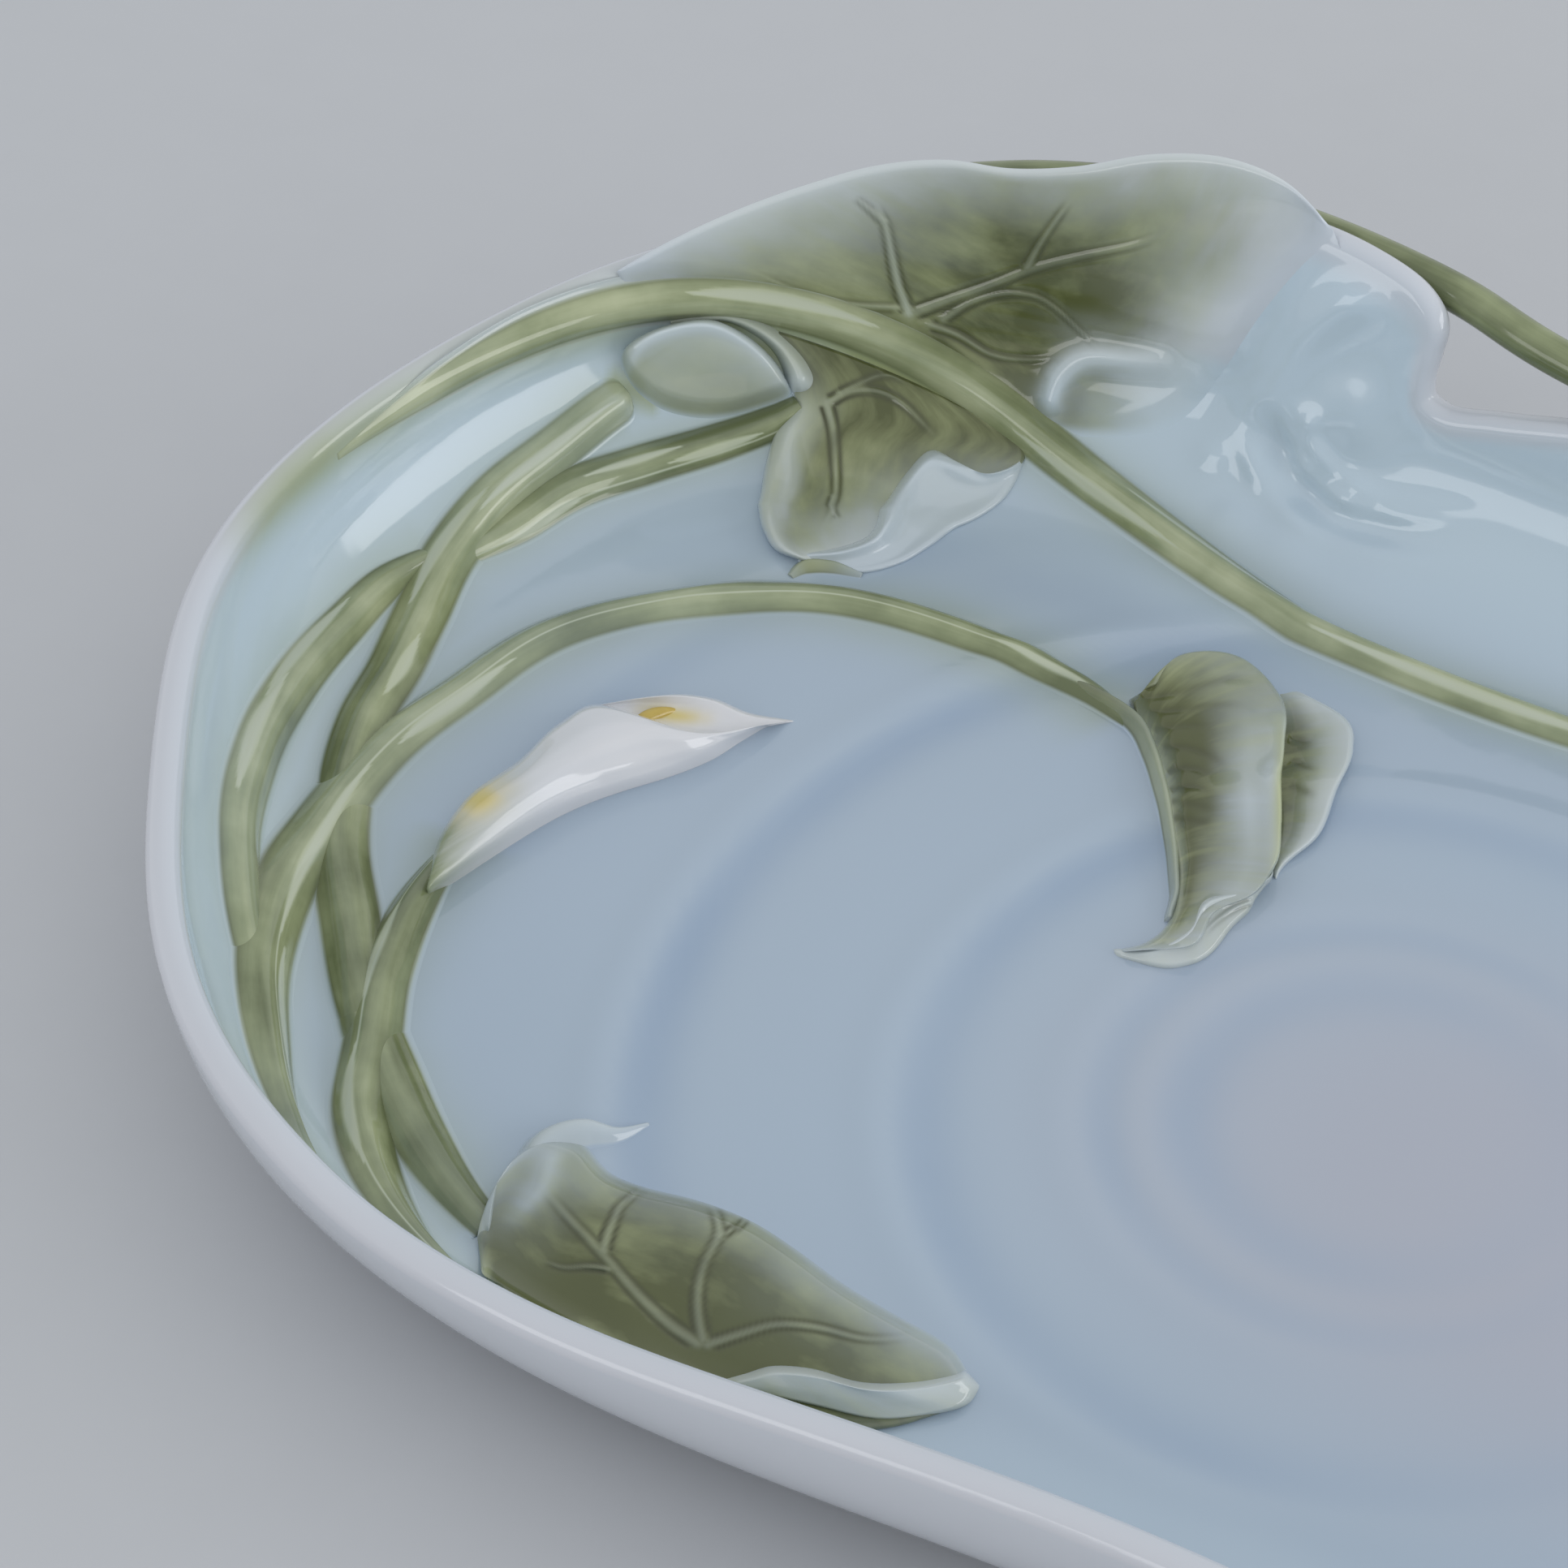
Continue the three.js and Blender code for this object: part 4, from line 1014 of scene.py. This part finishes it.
middleRoll = {
    "left": [(142.4, 1.76), (141.9, 1.62), (140.5, 1.5), (138.3, 1.43), (135.9, 1.41), (133.5, 1.44), (131.7, 1.48)],
    "right": [(142, 1.8), (140.8, 1.84), (138.4, 1.87), (135.9, 1.86), (133.9, 1.77), (132.5, 1.66), (131.6, 1.54)],
    "rise": [
        [0.6, 1.2, 1.5, 1.6, 1.4], [0.8, 2.2, 3.2, 4.2, 4.2], [0.9, 2.4, 3.6, 4.8, 5], [0.9, 2.4, 3.6, 4.6, 4.8],
        [0.9, 1.6, 2.2, 2.8, 3],
    ],
    "green": [
        [0.85, 0.65, 0.55, 0.35, 0.1], [0.8, 0.65, 0.6, 0.45, 0.05], [0.85, 0.7, 0.65, 0.45, 0.05],
        [0.9, 0.75, 0.65, 0.4, 0.05], [0.95, 0.8, 0.55, 0.35, 0.05],
    ],
    "shade": [[-0.3, -0.2], [-0.3, -0.2]], "round": (-4, 1.6, 1.6, 1.5),
    # the fold along the upper margin is raised and left bare of green; its white line is a painted highlight along the
    # roll's top edge
    "folds": [
        {
            "path": [(141.6, 1.72), (140.5, 1.79), (138.4, 1.825), (136, 1.815), (134.1, 1.74), (132.8, 1.65)],
            "width": 1, "height": 0.6,
        },
    ],
    "pale": 0.6, "grid": (90, 70), "brush": (0.05, 0.16), "blend": (5, 0, 0, 0), "seed": 43,
}
middleRib = {
    "path": [(138.5, 1.88), (137.1, 1.885), (135.3, 1.885), (133.7, 1.83), (132.3, 1.74), (131.4, 1.64), (130.9, 1.53)],
    "widths": [1, 1.8, 2.2, 2.4, 2.6, 3.8, 4.8], "heights": [0.4, 1.2, 2, 2.4, 2.8, 3.6, 3.8],
    "tint": [0.6, 0.4, 0.25, 0.15, 0.1, 0.05], "caps": (0, 2.4), "pale": 0.6, "fillet": 0.16, "crease": 0.9, "rows": 90,
    "seed": 47,
}
rollPiece = joinPieces([leafSheet("middle.leaf.roll", middleRoll), sprig("middle.rib", middleRib)])
settle(rollPiece, "middle_leaf_roll", leafGreen)

middleLeaf = {
    "left": [
        (133.5, 1.84), (131.8, 1.6), (131.6, 1.47), (132.7, 1.37), (133.6, 1.22), (134.5, 1.03), (136.7, 0.95),
        (137.6, 0.91), (136.2, 0.885),
    ],
    "right": [
        (119.8, 1.47), (119.4, 1.43), (119.2, 1.38), (119.4, 1.32), (120.6, 1.22), (122.4, 1.1), (125.5, 0.98),
        (130, 0.905), (134.5, 0.88),
    ],
    "rise": [
        [0.6, 0.6, 0.6, 0.6, 0.6], [1.2, 0.8, 0.8, 0.8, 0.8], [2.2, 1, 0.8, 1, 1.2], [3.4, 1, 0.8, 0.8, 0.7],
        [3.8, 1.2, 1, 0.6, 0.4], [3.2, 1.4, 1.2, 0.6, 0.4], [1.6, 1.2, 1, 0.6, 0.4],
    ],
    "green": [
        [0.9, 1, 1, 1, 1], [0.8, 1, 1, 1, 1], [0.5, 1, 1, 0.95, 0.85], [0.3, 1, 0.95, 0.75, 0.45],
        [0.15, 0.9, 0.8, 0.45, 0.15], [0.1, 0.6, 0.5, 0.15, 0], [0, 0.1, 0.1, 0, 0],
    ],
    "shade": [
        [0.4, 0.45, 0.4, 0.3, 0.2], [0, 0.45, 0.4, 0.2, 0.1], [-0.3, 0.25, 0.2, 0, 0], [-0.4, 0.1, 0.05, 0, 0],
        [-0.3, 0.1, 0.1, 0, 0], [0, 0.1, 0.1, 0, 0], [0, 0, 0, 0, 0],
    ],
    "round": (2.2, 1.6, -1.5, 1.6), "grid": (170, 120), "seed": 53, "brush": (0.1, 0.3),
    "veins": [
        {
            "path": [(129.7, 1.49), (129.3, 1.39), (129.1, 1.27), (128.9, 1.13), (129, 1), (131.2, 0.955)],
            "width": 0.7, "dark": 0.8,
        },
        {
            "path": [(129.6, 1.49), (128.5, 1.54), (127, 1.55), (125.7, 1.51), (124.6, 1.44), (123.5, 1.37)],
            "width": 0.65, "dark": 0.9,
        },
        {"path": [(129, 1.53), (128.1, 1.57), (126.7, 1.62), (125.4, 1.59)], "width": 0.5, "dark": 0.8},
        {"path": [(129, 1.05), (129.7, 0.967)], "width": 0.4, "dark": 0.6},
    ],
    "folds": [
        {
            "path": [(131.4, 1.43), (131.9, 1.29), (131.9, 1.11), (133.7, 0.967)], "width": 1.5, "height": 0.8,
            "bare": 0.4,
        },
    ],
}
settle(leafSheet("middle.leaf", middleLeaf), "middle_leaf", leafGreen)

middleFold = {
    "left": [
        (137.2, 0.885), (132.4, 0.862), (128.2, 0.884), (124.6, 0.932), (121.8, 0.985), (120.4, 1.05), (119.6, 1.16),
        (119.3, 1.26), (119.25, 1.32), (119.2, 1.36),
    ],
    "right": [
        (136, 0.905), (132, 0.912), (128.5, 0.94), (126, 1), (125, 1.2), (123.9, 1.33), (122.6, 1.3), (121.3, 1.26),
        (120, 1.31), (119.3, 1.38),
    ],
    "rise": [
        [0.4, 0.5, 0.8, 1.2, 1], [0.8, 0.7, 1.3, 2.6, 2.4], [0.9, 0.7, 1.4, 3.2, 3], [0.9, 0.7, 1.3, 2.8, 2.6],
        [0.4, 0.6, 1, 1.6, 1.6],
    ],
    "green": [[0, 0], [0, 0], [0.05, 0.05], [0.05, 0.1], [0, 0.1]], "round": (1.4, 1.6, 1.5, 1.5), "pale": 0.5,
    "folds": [
        {
            "path": [
                (134.7, 0.9), (131.9, 0.903), (128.5, 0.929), (125.6, 0.983), (124.8, 1.13), (124.1, 1.26),
                (123.3, 1.28), (121.5, 1.22), (120.3, 1.26), (119.5, 1.34),
            ],
            "width": 1.1, "height": 0.9,
        },
    ],
    "grid": (120, 70), "seed": 59,
}
middleTip = {
    "path": [(139, 0.867), (136.6, 0.878), (134.2, 0.874), (132.4, 0.858)], "widths": [1, 2.6, 2.4, 1],
    "heights": [0.4, 1.5, 1.5, 0.5], "tint": [0.5, 0.95, 0.8, 0.3], "pale": 0.2, "rows": 50, "seed": 61,
}
foldPiece = joinPieces([leafSheet("middle.leaf.fold", middleFold), sprig("middle.tip", middleTip)])
settle(foldPiece, "middle_leaf_fold", leafGreen)

curledLeaf = {
    "left": [
        (118.6, 0.66), (119.5, 0.61), (120.2, 0.565), (121, 0.525), (122.2, 0.482), (124.6, 0.427), (128.3, 0.37),
        (133.5, 0.318), (142.4, 0.277), (153, 0.254), (164.9, 0.251), (174, 0.266),
    ],
    "right": [
        (115.4, 0.71), (111.6, 0.825), (108, 0.866), (106.1, 0.79), (107, 0.68), (108.6, 0.575), (110.4, 0.475),
        (113.5, 0.378), (121, 0.292), (136, 0.248), (155, 0.218), (174.2, 0.26),
    ],
    "rise": [
        [2.4, 1.8, 2, 2.2, 2.2], [2.4, 1, 1.2, 2.6, 3.4], [2.4, 0.8, 1.2, 3.6, 3.8], [2.4, 0.8, 1.4, 3.8, 3.8],
        [2.2, 1, 1.8, 3.4, 3.6], [1.8, 1.4, 2, 2.8, 3.2], [1.4, 1.4, 1.4, 1.6, 1.8],
    ],
    # low green right of the middle leaves a pale patch left of the crest, partly bare glaze and partly painted
    # highlight
    "green": [
        [0.95, 1, 0.95, 0.9, 0.8], [0.8, 1, 1, 0.9, 0.7], [0.7, 1, 1, 0.55, 0.5], [0.7, 1, 0.95, 0.1, 0.4],
        [0.7, 1, 0.7, 0.4, 0.5], [0.6, 0.95, 0.7, 0.5, 0.4], [0.1, 0.1, 0.05, 0, 0],
    ],
    "shade": [
        [0.5, 0.4, 0.2, 0.1, 0], [0.1, 0.6, 0.35, 0.1, 0], [0.1, 0.65, 0.45, 0, 0], [0.1, 0.75, 0.5, 0, 0],
        [0.1, 0.55, 0.2, 0, 0], [0.1, 0.2, 0.1, 0, 0], [0, 0, 0, 0, 0],
    ],
    "round": (1.2, 0.9, 1.2, 1.2), "pale": 0.55, "grid": (170, 110), "seed": 67, "brush": (0.45, 0.05),
    "strokes": [
        {"path": [(117.8, 0.665), (114.3, 0.705), (109.3, 0.793), (107.6, 0.815)], "dark": 0.45},
        {"path": [(118.2, 0.636), (114.9, 0.666), (110.8, 0.718), (108.6, 0.742)], "dark": 0.55},
        {"path": [(118.8, 0.597), (114.7, 0.637), (111.9, 0.662)], "dark": 0.6},
        {"path": [(119.2, 0.562), (116, 0.582), (114.3, 0.576), (113.4, 0.55)], "dark": 0.75},
        {"path": [(120.6, 0.509), (117.1, 0.536), (114.8, 0.532)], "dark": 0.75},
        {"path": [(122.2, 0.469), (118.3, 0.49), (116.2, 0.487)], "dark": 0.75},
        {"path": [(123.4, 0.445), (119.6, 0.452), (117.4, 0.455)], "dark": 0.6},
        {"path": [(125.2, 0.414), (120.9, 0.421), (119, 0.424)], "dark": 0.6},
    ],
    "folds": [
        # this fold raises the crest and strips its green, giving a white crest that is partly bare glaze and partly
        # painted highlight
        {
            "path": [(106.6, 0.72), (108, 0.631), (109.4, 0.584), (109.8, 0.533), (111, 0.461), (113.5, 0.387)],
            "width": 1.5, "height": 1.3,
        },
        {
            "path": [(107, 0.73), (107.9, 0.64), (109.2, 0.566), (110.6, 0.488), (112.6, 0.41), (115, 0.356)],
            "width": 1, "height": 0, "bare": 0.3, "yellow": 0.7,
        },
    ],
}
curledFold = {
    "left": [
        (116.4, 0.325), (122, 0.278), (127.4, 0.244), (145.4, 0.207), (163.9, 0.204), (176.3, 0.233), (178, 0.262),
    ],
    "right": [(114.6, 0.36), (118.6, 0.322), (123.6, 0.296), (133.6, 0.274), (149, 0.24), (166, 0.245), (174, 0.27)],
    "rise": [[1.2, 2.6, 3.8], [0.8, 2.2, 4], [0.8, 2, 4], [0.6, 1.6, 3.2], [0.4, 1, 2], [0.2, 0.4, 0.8]],
    "green": [[0.4, 0.3, 0], [0.3, 0.25, 0], [0.3, 0.25, 0], [0.15, 0.15, 0], [0.2, 0.15, 0]],
    "round": (1.2, 1.1, 1, 1), "grid": (100, 50), "seed": 71,
    "veins": [
        {"path": [(124, 0.27), (135, 0.242), (150, 0.222)], "width": 0.5, "dark": 0.35, "pale": 0, "height": 0.1},
    ],
}
curledRib = {
    "path": [
        (127, 0.722), (122.5, 0.652), (120, 0.6), (120.8, 0.535), (122.6, 0.475), (126, 0.402), (131, 0.34),
        (140, 0.284), (152, 0.254),
    ],
    "widths": [1.6, 2.4, 2.4, 2.2, 2, 1.8, 1.6, 1.2], "heights": [1, 2.6, 3.1, 3.1, 3, 2.8, 2.4, 1.4],
    "tint": [0.9, 0.9, 0.8, 0.75, 0.7, 0.7, 0.6, 0.4], "pale": 0.2, "crease": 0.7, "rows": 120, "seed": 73,
}
curledPiece = joinPieces([
    leafSheet("curled.leaf", curledLeaf), leafSheet("curled.fold", curledFold), sprig("curled.rib", curledRib),
])
settle(curledPiece, "curled_leaf", leafGreen)

curledBack = {
    "left": [(106.4, 0.815), (107.4, 0.689), (109.2, 0.57), (111, 0.467), (115.6, 0.34)],
    "right": [(105.2, 0.835), (102.2, 0.81), (101.9, 0.73), (103.6, 0.61), (106.8, 0.47), (115.6, 0.328)],
    "rise": [[0.6, 0.4, 0.5, 0.6], [1, 0.4, 1.6, 2.4], [1, 0.5, 2, 2.8], [1, 0.8, 1.8, 2.2], [0.8, 0.8, 0.8, 0.6]],
    "green": [[0.6, 0.4, 0.1, 0], [1, 0.95, 0.35, 0], [1, 1, 0.4, 0], [1, 0.8, 0.2, 0], [0.7, 0.5, 0.1, 0]],
    "shade": [[0.3, 0.2, 0, 0], [0.6, 0.5, 0, 0], [0.6, 0.5, 0, 0], [0.4, 0.2, 0, 0], [0.2, 0, 0, 0]],
    "round": (1.2, 1.2, -3, 1.2), "grid": (90, 60), "seed": 79,
    "strokes": [
        {"path": [(106.4, 0.7), (104.8, 0.7)], "dark": 0.5}, {"path": [(107, 0.64), (105, 0.63)], "dark": 0.5},
        {"path": [(108, 0.57), (105.6, 0.57)], "dark": 0.5},
    ],
}
settle(leafSheet("curled.leaf.back", curledBack), "curled_leaf_back", leafGreen)

frontLeaf = {
    "left": [
        (241.4, 1), (239.4, 0.962), (237.1, 0.928), (235, 0.897), (233.3, 0.862), (232.4, 0.83), (233.6, 0.812),
        (236.8, 0.812), (238.5, 0.794), (240.9, 0.762), (243.6, 0.744), (247, 0.747), (251.3, 0.766), (255.2, 0.781),
        (258.3, 0.799), (261, 0.85),
    ],
    "right": [
        (241.6, 1.03), (241.8, 1.08), (242.4, 1.16), (243.4, 1.24), (244.6, 1.3), (246, 1.35), (247.6, 1.38),
        (249.4, 1.38), (251.2, 1.36), (253, 1.31), (255, 1.23), (257, 1.13), (259.4, 1.02), (261.4, 0.9),
    ],
    "rise": [
        [1.6, 1.6, 1.6, 1.6, 1.4], [2.6, 2, 1.4, 1.4, 1.4], [2.6, 1.8, 1.2, 1, 1.4], [1.6, 1.6, 1, 0.8, 1.4],
        [1.2, 1.6, 1, 0.6, 1.4], [1.2, 1.4, 1, 0.6, 1.2], [1, 1.2, 1.2, 1, 1],
    ],
    "green": [
        [0.35, 0.4, 0.45, 0.45, 0.45], [0.15, 0.3, 0.45, 0.55, 0.55], [0.15, 0.5, 0.8, 0.95, 1], [0.65, 0.95, 1, 1, 1],
        [0.6, 0.95, 1, 1, 1], [0.3, 0.85, 0.95, 1, 1], [0.1, 0.5, 0.8, 0.8, 0.8],
    ],
    "shade": [
        [0, 0, 0, 0, 0], [0, 0, 0, 0, 0], [0, 0.2, 0.3, 0.4, 0.4], [0.1, 0.4, 0.4, 0.5, 0.5],
        [0.2, 0.45, 0.5, 0.6, 0.6], [0, 0.2, 0.6, 0.7, 0.7], [0, 0, 0.4, 0.5, 0.5],
    ],
    "round": (-2.4, 2, -4, 1.6), "pale": 0.35, "grid": (260, 140), "seed": 83, "brush": (0.1, 0.22),
    "veins": [
        {
            "path": [
                (251.1, 0.967), (249.5, 0.959), (247.1, 0.941), (244.5, 0.921), (242.3, 0.908), (239.7, 0.897),
                (237.6, 0.889),
            ],
            "width": 0.85, "dark": 0.7,
        },
        {"path": [(244.9, 0.93), (244.3, 0.945), (243.9, 0.964), (243, 0.972)], "width": 0.5},
        {"path": [(243.6, 0.913), (241.4, 0.867), (239.9, 0.836), (238.7, 0.796)], "width": 0.65},
        {
            "path": [(251, 0.957), (248.3, 0.897), (246.1, 0.843), (244.2, 0.793), (242.4, 0.77), (241.4, 0.764)],
            "width": 0.7,
        },
        {"path": [(244.4, 0.797), (243.9, 0.766), (243.5, 0.748)], "width": 0.4},
        {
            "path": [(251.4, 0.962), (251.6, 0.919), (251.9, 0.881), (253.1, 0.858), (255, 0.846), (256.5, 0.805)],
            "width": 0.75, "dark": 0.8,
        },
    ],
    "folds": [
        {
            "path": [(239.6, 0.945), (237.1, 0.888), (235.2, 0.862), (234.2, 0.845)], "width": 1.6, "height": 0.9,
            "bare": 0.5,
        },
    ],
}
frontCurl = {
    "path": [
        (236.8, 0.905), (235.4, 0.88), (234.3, 0.857), (233.6, 0.832), (233.3, 0.808), (233.4, 0.78), (232.3, 0.74),
    ],
    "widths": [1.5, 3.6, 4.6, 4.6, 4, 2.2, 0.5], "heights": [0.6, 2.6, 3.4, 3.4, 2.8, 1.4, 0.2],
    "tint": [0.2, 0.15, 0.08, 0, 0], "pale": 0.45, "rows": 80, "seed": 89,
}
frontPiece = joinPieces([leafSheet("front.leaf", frontLeaf), sprig("front.curl", frontCurl)])
settle(frontPiece, "front_leaf", leafGreen)

frontFold = {
    "left": [(254, 1.12), (255.6, 1.02), (257.3, 0.99), (259.5, 0.974), (260.9, 0.929), (261.5, 0.894), (261.2, 0.855)],
    "right": [
        (253.4, 1.06), (253.8, 0.98), (254.1, 0.95), (255.2, 0.929), (257.1, 0.92), (258.6, 0.888), (259.9, 0.836),
    ],
    "rise": [[1, 1.4, 1.6], [1, 2.2, 3], [0.8, 2.6, 4], [0.8, 2.6, 4.2], [0.8, 2, 3]],
    "green": [[0.9, 0.8, 0.5], [0.65, 0.5, 0.2], [0.45, 0.35, 0.05], [0.3, 0.2, 0], [0.25, 0.15, 0.05]],
    "round": (1.4, 0.9, 1.5, 1.4), "pale": 0.8, "grid": (110, 60), "seed": 97,
}
settle(leafSheet("front.leaf.fold", frontFold), "front_leaf_fold", leafGreen)
print("leaves laid")

# calla bud: one petal rolled round the spike, its front lip lapping over the back one
budFront = {
    "left": [
        (206.4, 0.908), (203.2, 0.877), (198, 0.835), (191.5, 0.792), (183.8, 0.747), (177.2, 0.716), (170.5, 0.697),
        (164.2, 0.692), (160, 0.688), (157.4, 0.676),
    ],
    "right": [
        (205.6, 0.912), (199.5, 0.905), (193.1, 0.886), (184.5, 0.852), (175, 0.842), (169.4, 0.828), (168.3, 0.781),
        (167.4, 0.737), (162.6, 0.703), (157.4, 0.678),
    ],
    "rise": [
        [0.6, 2.4, 2.8, 2.6, 1.4], [0.6, 3.4, 4.8, 4.8, 3], [0.6, 3.8, 6, 6.6, 4.6], [0.6, 3.8, 6.2, 7, 6.2],
        [0.6, 3.4, 5.2, 6, 6], [0.4, 1.8, 2.8, 3.2, 3.2], [0.2, 0.4, 0.5, 0.5, 0.4],
    ],
    "green": [
        [0.35, 0.9, 1, 1, 0.9], [0.1, 0.3, 0.5, 0.65, 0.65], [0, 0, 0, 0.1, 0.1], [0, 0, 0, 0, 0], [0, 0, 0, 0, 0],
        [0, 0, 0, 0, 0], [0, 0, 0, 0, 0],
    ],
    "round": (2.2, 1.2, 1.2, 1.2), "grid": (150, 90), "seed": 101, "brush": (0.05, 0.5),
    "folds": [
        {"path": [(195, 0.885), (192.4, 0.87), (190, 0.858)], "width": 2.6, "height": 0, "yellow": 0.85},
    ],
}
budBack = {
    "left": [(173, 0.838), (171, 0.812), (170.8, 0.78), (170, 0.745), (166, 0.715), (158.2, 0.678)],
    "right": [(169.6, 0.828), (165.5, 0.803), (162.4, 0.778), (160.7, 0.75), (160.2, 0.717), (157.4, 0.676)],
    "rise": [
        [4.6, 4.2, 4, 4.2], [5, 3.4, 3.4, 5], [4.8, 2.8, 3, 4.8], [3.6, 2.2, 2.2, 3.6], [1.6, 1.2, 1, 1.4],
        [0.2, 0.2, 0.2, 0.2],
    ],
    "green": [[0, 0], [0, 0]], "round": (1, 0.9, 1, 1), "grid": (90, 60), "seed": 103,
    "folds": [{"path": [(167.2, 0.79), (166.4, 0.768), (164.6, 0.742)], "width": 1.6, "height": 0, "yellow": 0.8}],
}
budPiece = joinPieces([leafSheet("bud.spathe", budFront), leafSheet("bud.back", budBack)])
settle(budPiece, "bud_spathe", petalWhite)


tubeForm = {"spreadSoften": 8, "grain": (0.035, 0.5)}


# a round rod along a line of places, each with its own height off the dish
def buildTube(name, form):
    shares = np.linspace(0, 1, form["steps"])
    centre = lifted(*placeLine(form["path"], form["steps"], form["soften"]).T)
    along = unit(np.gradient(centre, axis=0))
    side = unit(np.cross(along, np.array([0, 0, 1.0])))
    up = np.cross(side, along)
    radius, tint, shade = (
        spreadOver(form[label], shares, tubeForm["spreadSoften"])[:, None] for label in ("radii", "tint", "shade")
    )
    turn = np.linspace(0, 2 * math.pi, form["around"] + 1)[None]
    wide, tall = radius * np.cos(turn), radius * np.sin(turn)
    points = centre[:, None] + side[:, None] * wide[..., None] + up[:, None] * tall[..., None]
    for end in (0, -1):
        points[end] = points[end].mean(axis=0)
    flat = np.ones(points.shape[:2])
    far, near = tubeForm["grain"]
    grain = (lengthAlong(centre)[:, None] * far * flat, wide * near, tall * near + form["seed"])
    marks = {"tint": tint * flat, "shade": shade * flat, "grain": np.stack(grain, axis=-1), "rim": flat}
    return wrapGrid(name, points, marks)


spikeForm = {
    "path": [(174, 0.775, 2.6), (170, 0.765, 2.6), (166.5, 0.752, 2.2)], "radii": [0.05, 0.8, 1.1, 1, 0.6, 0.05],
    "tint": [1, 1], "shade": [0, 0], "seed": 107, "steps": 40, "around": 24, "soften": 4,
}
settle(buildTube("bud.spadix", spikeForm), "bud_spadix", pollenYellow)
print("bud laid")

# the vine behind the crest, carried over the notch
vineGap, vineRadius = 0.3, 2.6
vineBehind = -(dishForm["shell"] + vineGap + vineRadius)
vineOver = -dishForm["shell"] / 2


def vineOffset(share):
    return vineBehind + (vineOver - vineBehind) * share


handleForm = {
    "path": [
        (128, 2.42, vineBehind), (121, 2.53, vineBehind), (115, 2.61, vineBehind), (109.5, 2.61, vineBehind),
        (104, 2.55, vineBehind), (100.5, 2.5, vineOffset(0.4)), (96.7, 2.43, vineOffset(0.7)),
        (91, 2.37, vineOffset(0.8)), (85, 2.33, vineOffset(0.8)), (78, 2.28, vineOffset(0.85)), (71, 2.22, vineOver),
        (65, 2.15, vineOver),
    ],
    "radii": [1, 2.3, 2.6, 2.6, 2.6, 2.6, 2.6, 2.6, 2.5, 2.2, 1.8, 0.9],
    "tint": [0.7, 1, 1, 1, 1, 1, 1, 1, 1, 0.9, 0.7, 0.3], "shade": [0.2, 0.2, 0.2, 0.35, 0.3, 0.15, 0.1, 0.1, 0.1],
    "seed": 109, "steps": 220, "around": 32, "soften": 120,
}
settle(buildTube("handle.vine", handleForm), "handle_vine", stemGreen)
print("handle bent")

# floor, light and camera
stageForm = {
    "size": 8, "floor": (0.5, 0.51, 0.53), "paler": 1.03, "grainScale": 90, "roughness": 0.75,
    "world": (0.94, 0.97, 1), "worldStrength": 0.85,
}


def buildStage():
    bpy.ops.object.select_all(action="DESELECT")
    bpy.ops.mesh.primitive_plane_add(size=stageForm["size"], location=(0, 0, 0))
    floor = bpy.context.object
    floor.name = "studioFloor"
    material, tree, shader = startMaterial("studioPaper", stageForm["roughness"])
    paler = tuple(value * stageForm["paler"] for value in stageForm["floor"])
    tone = addMix(tree, addNoise(tree, stageForm["grainScale"], 4), stageForm["floor"], paler)
    tree.links.new(tone, shader.inputs["Base Color"])
    floor.data.materials.append(material)
    world = bpy.data.worlds.new("softRoom")
    world.use_nodes = True
    sky = world.node_tree.nodes["Background"].inputs
    sky["Color"].default_value = (*stageForm["world"], 1)
    sky["Strength"].default_value = stageForm["worldStrength"]
    bpy.context.scene.world = world


softboxes = {
    "rightWindow": {"at": (0.96, 0.18, 0.27), "size": (0.85, 0.48), "radiance": 3},
    "frontWindow": {"at": (-0.42, -0.9, 0.27), "size": (0.46, 0.38), "radiance": 2},
}


lampAim = Vector((-0.04, 0.0, 0.02))


def buildLights():
    for name, box in softboxes.items():
        data = bpy.data.lights.new(name, "AREA")
        data.shape = "RECTANGLE"
        data.size, data.size_y = box["size"]
        data.energy = math.pi * data.size * data.size_y * box["radiance"]
        lamp = bpy.data.objects.new(name, data)
        lamp.location = box["at"]
        lamp.rotation_euler = (lampAim - Vector(box["at"])).to_track_quat("-Z", "Y").to_euler()
        bpy.context.collection.objects.link(lamp)


cameraForm = {
    "azimuth": 28, "elevation": 43, "distance": 0.56, "target": (-0.0909, 0.0126, 0),
    "lens": 99.1, "sensor": 36, "nearest": 0.01,
}


def buildCamera():
    turn, tilt = math.radians(cameraForm["azimuth"]), math.radians(cameraForm["elevation"])
    back = Vector((math.sin(turn) * math.cos(tilt), -math.cos(turn) * math.cos(tilt), math.sin(tilt)))
    data = bpy.data.cameras.new("photoCamera")
    data.lens = cameraForm["lens"]
    data.sensor_width = cameraForm["sensor"]
    data.clip_start = cameraForm["nearest"]
    camera = bpy.data.objects.new("photoCamera", data)
    camera.location = Vector(cameraForm["target"]) + back * cameraForm["distance"]
    camera.rotation_euler = (-back).to_track_quat("-Z", "Y").to_euler()
    bpy.context.collection.objects.link(camera)
    bpy.context.scene.camera = camera


buildStage()
buildLights()
buildCamera()
bpy.context.scene.view_settings.view_transform = "Standard"
print("stage lit")
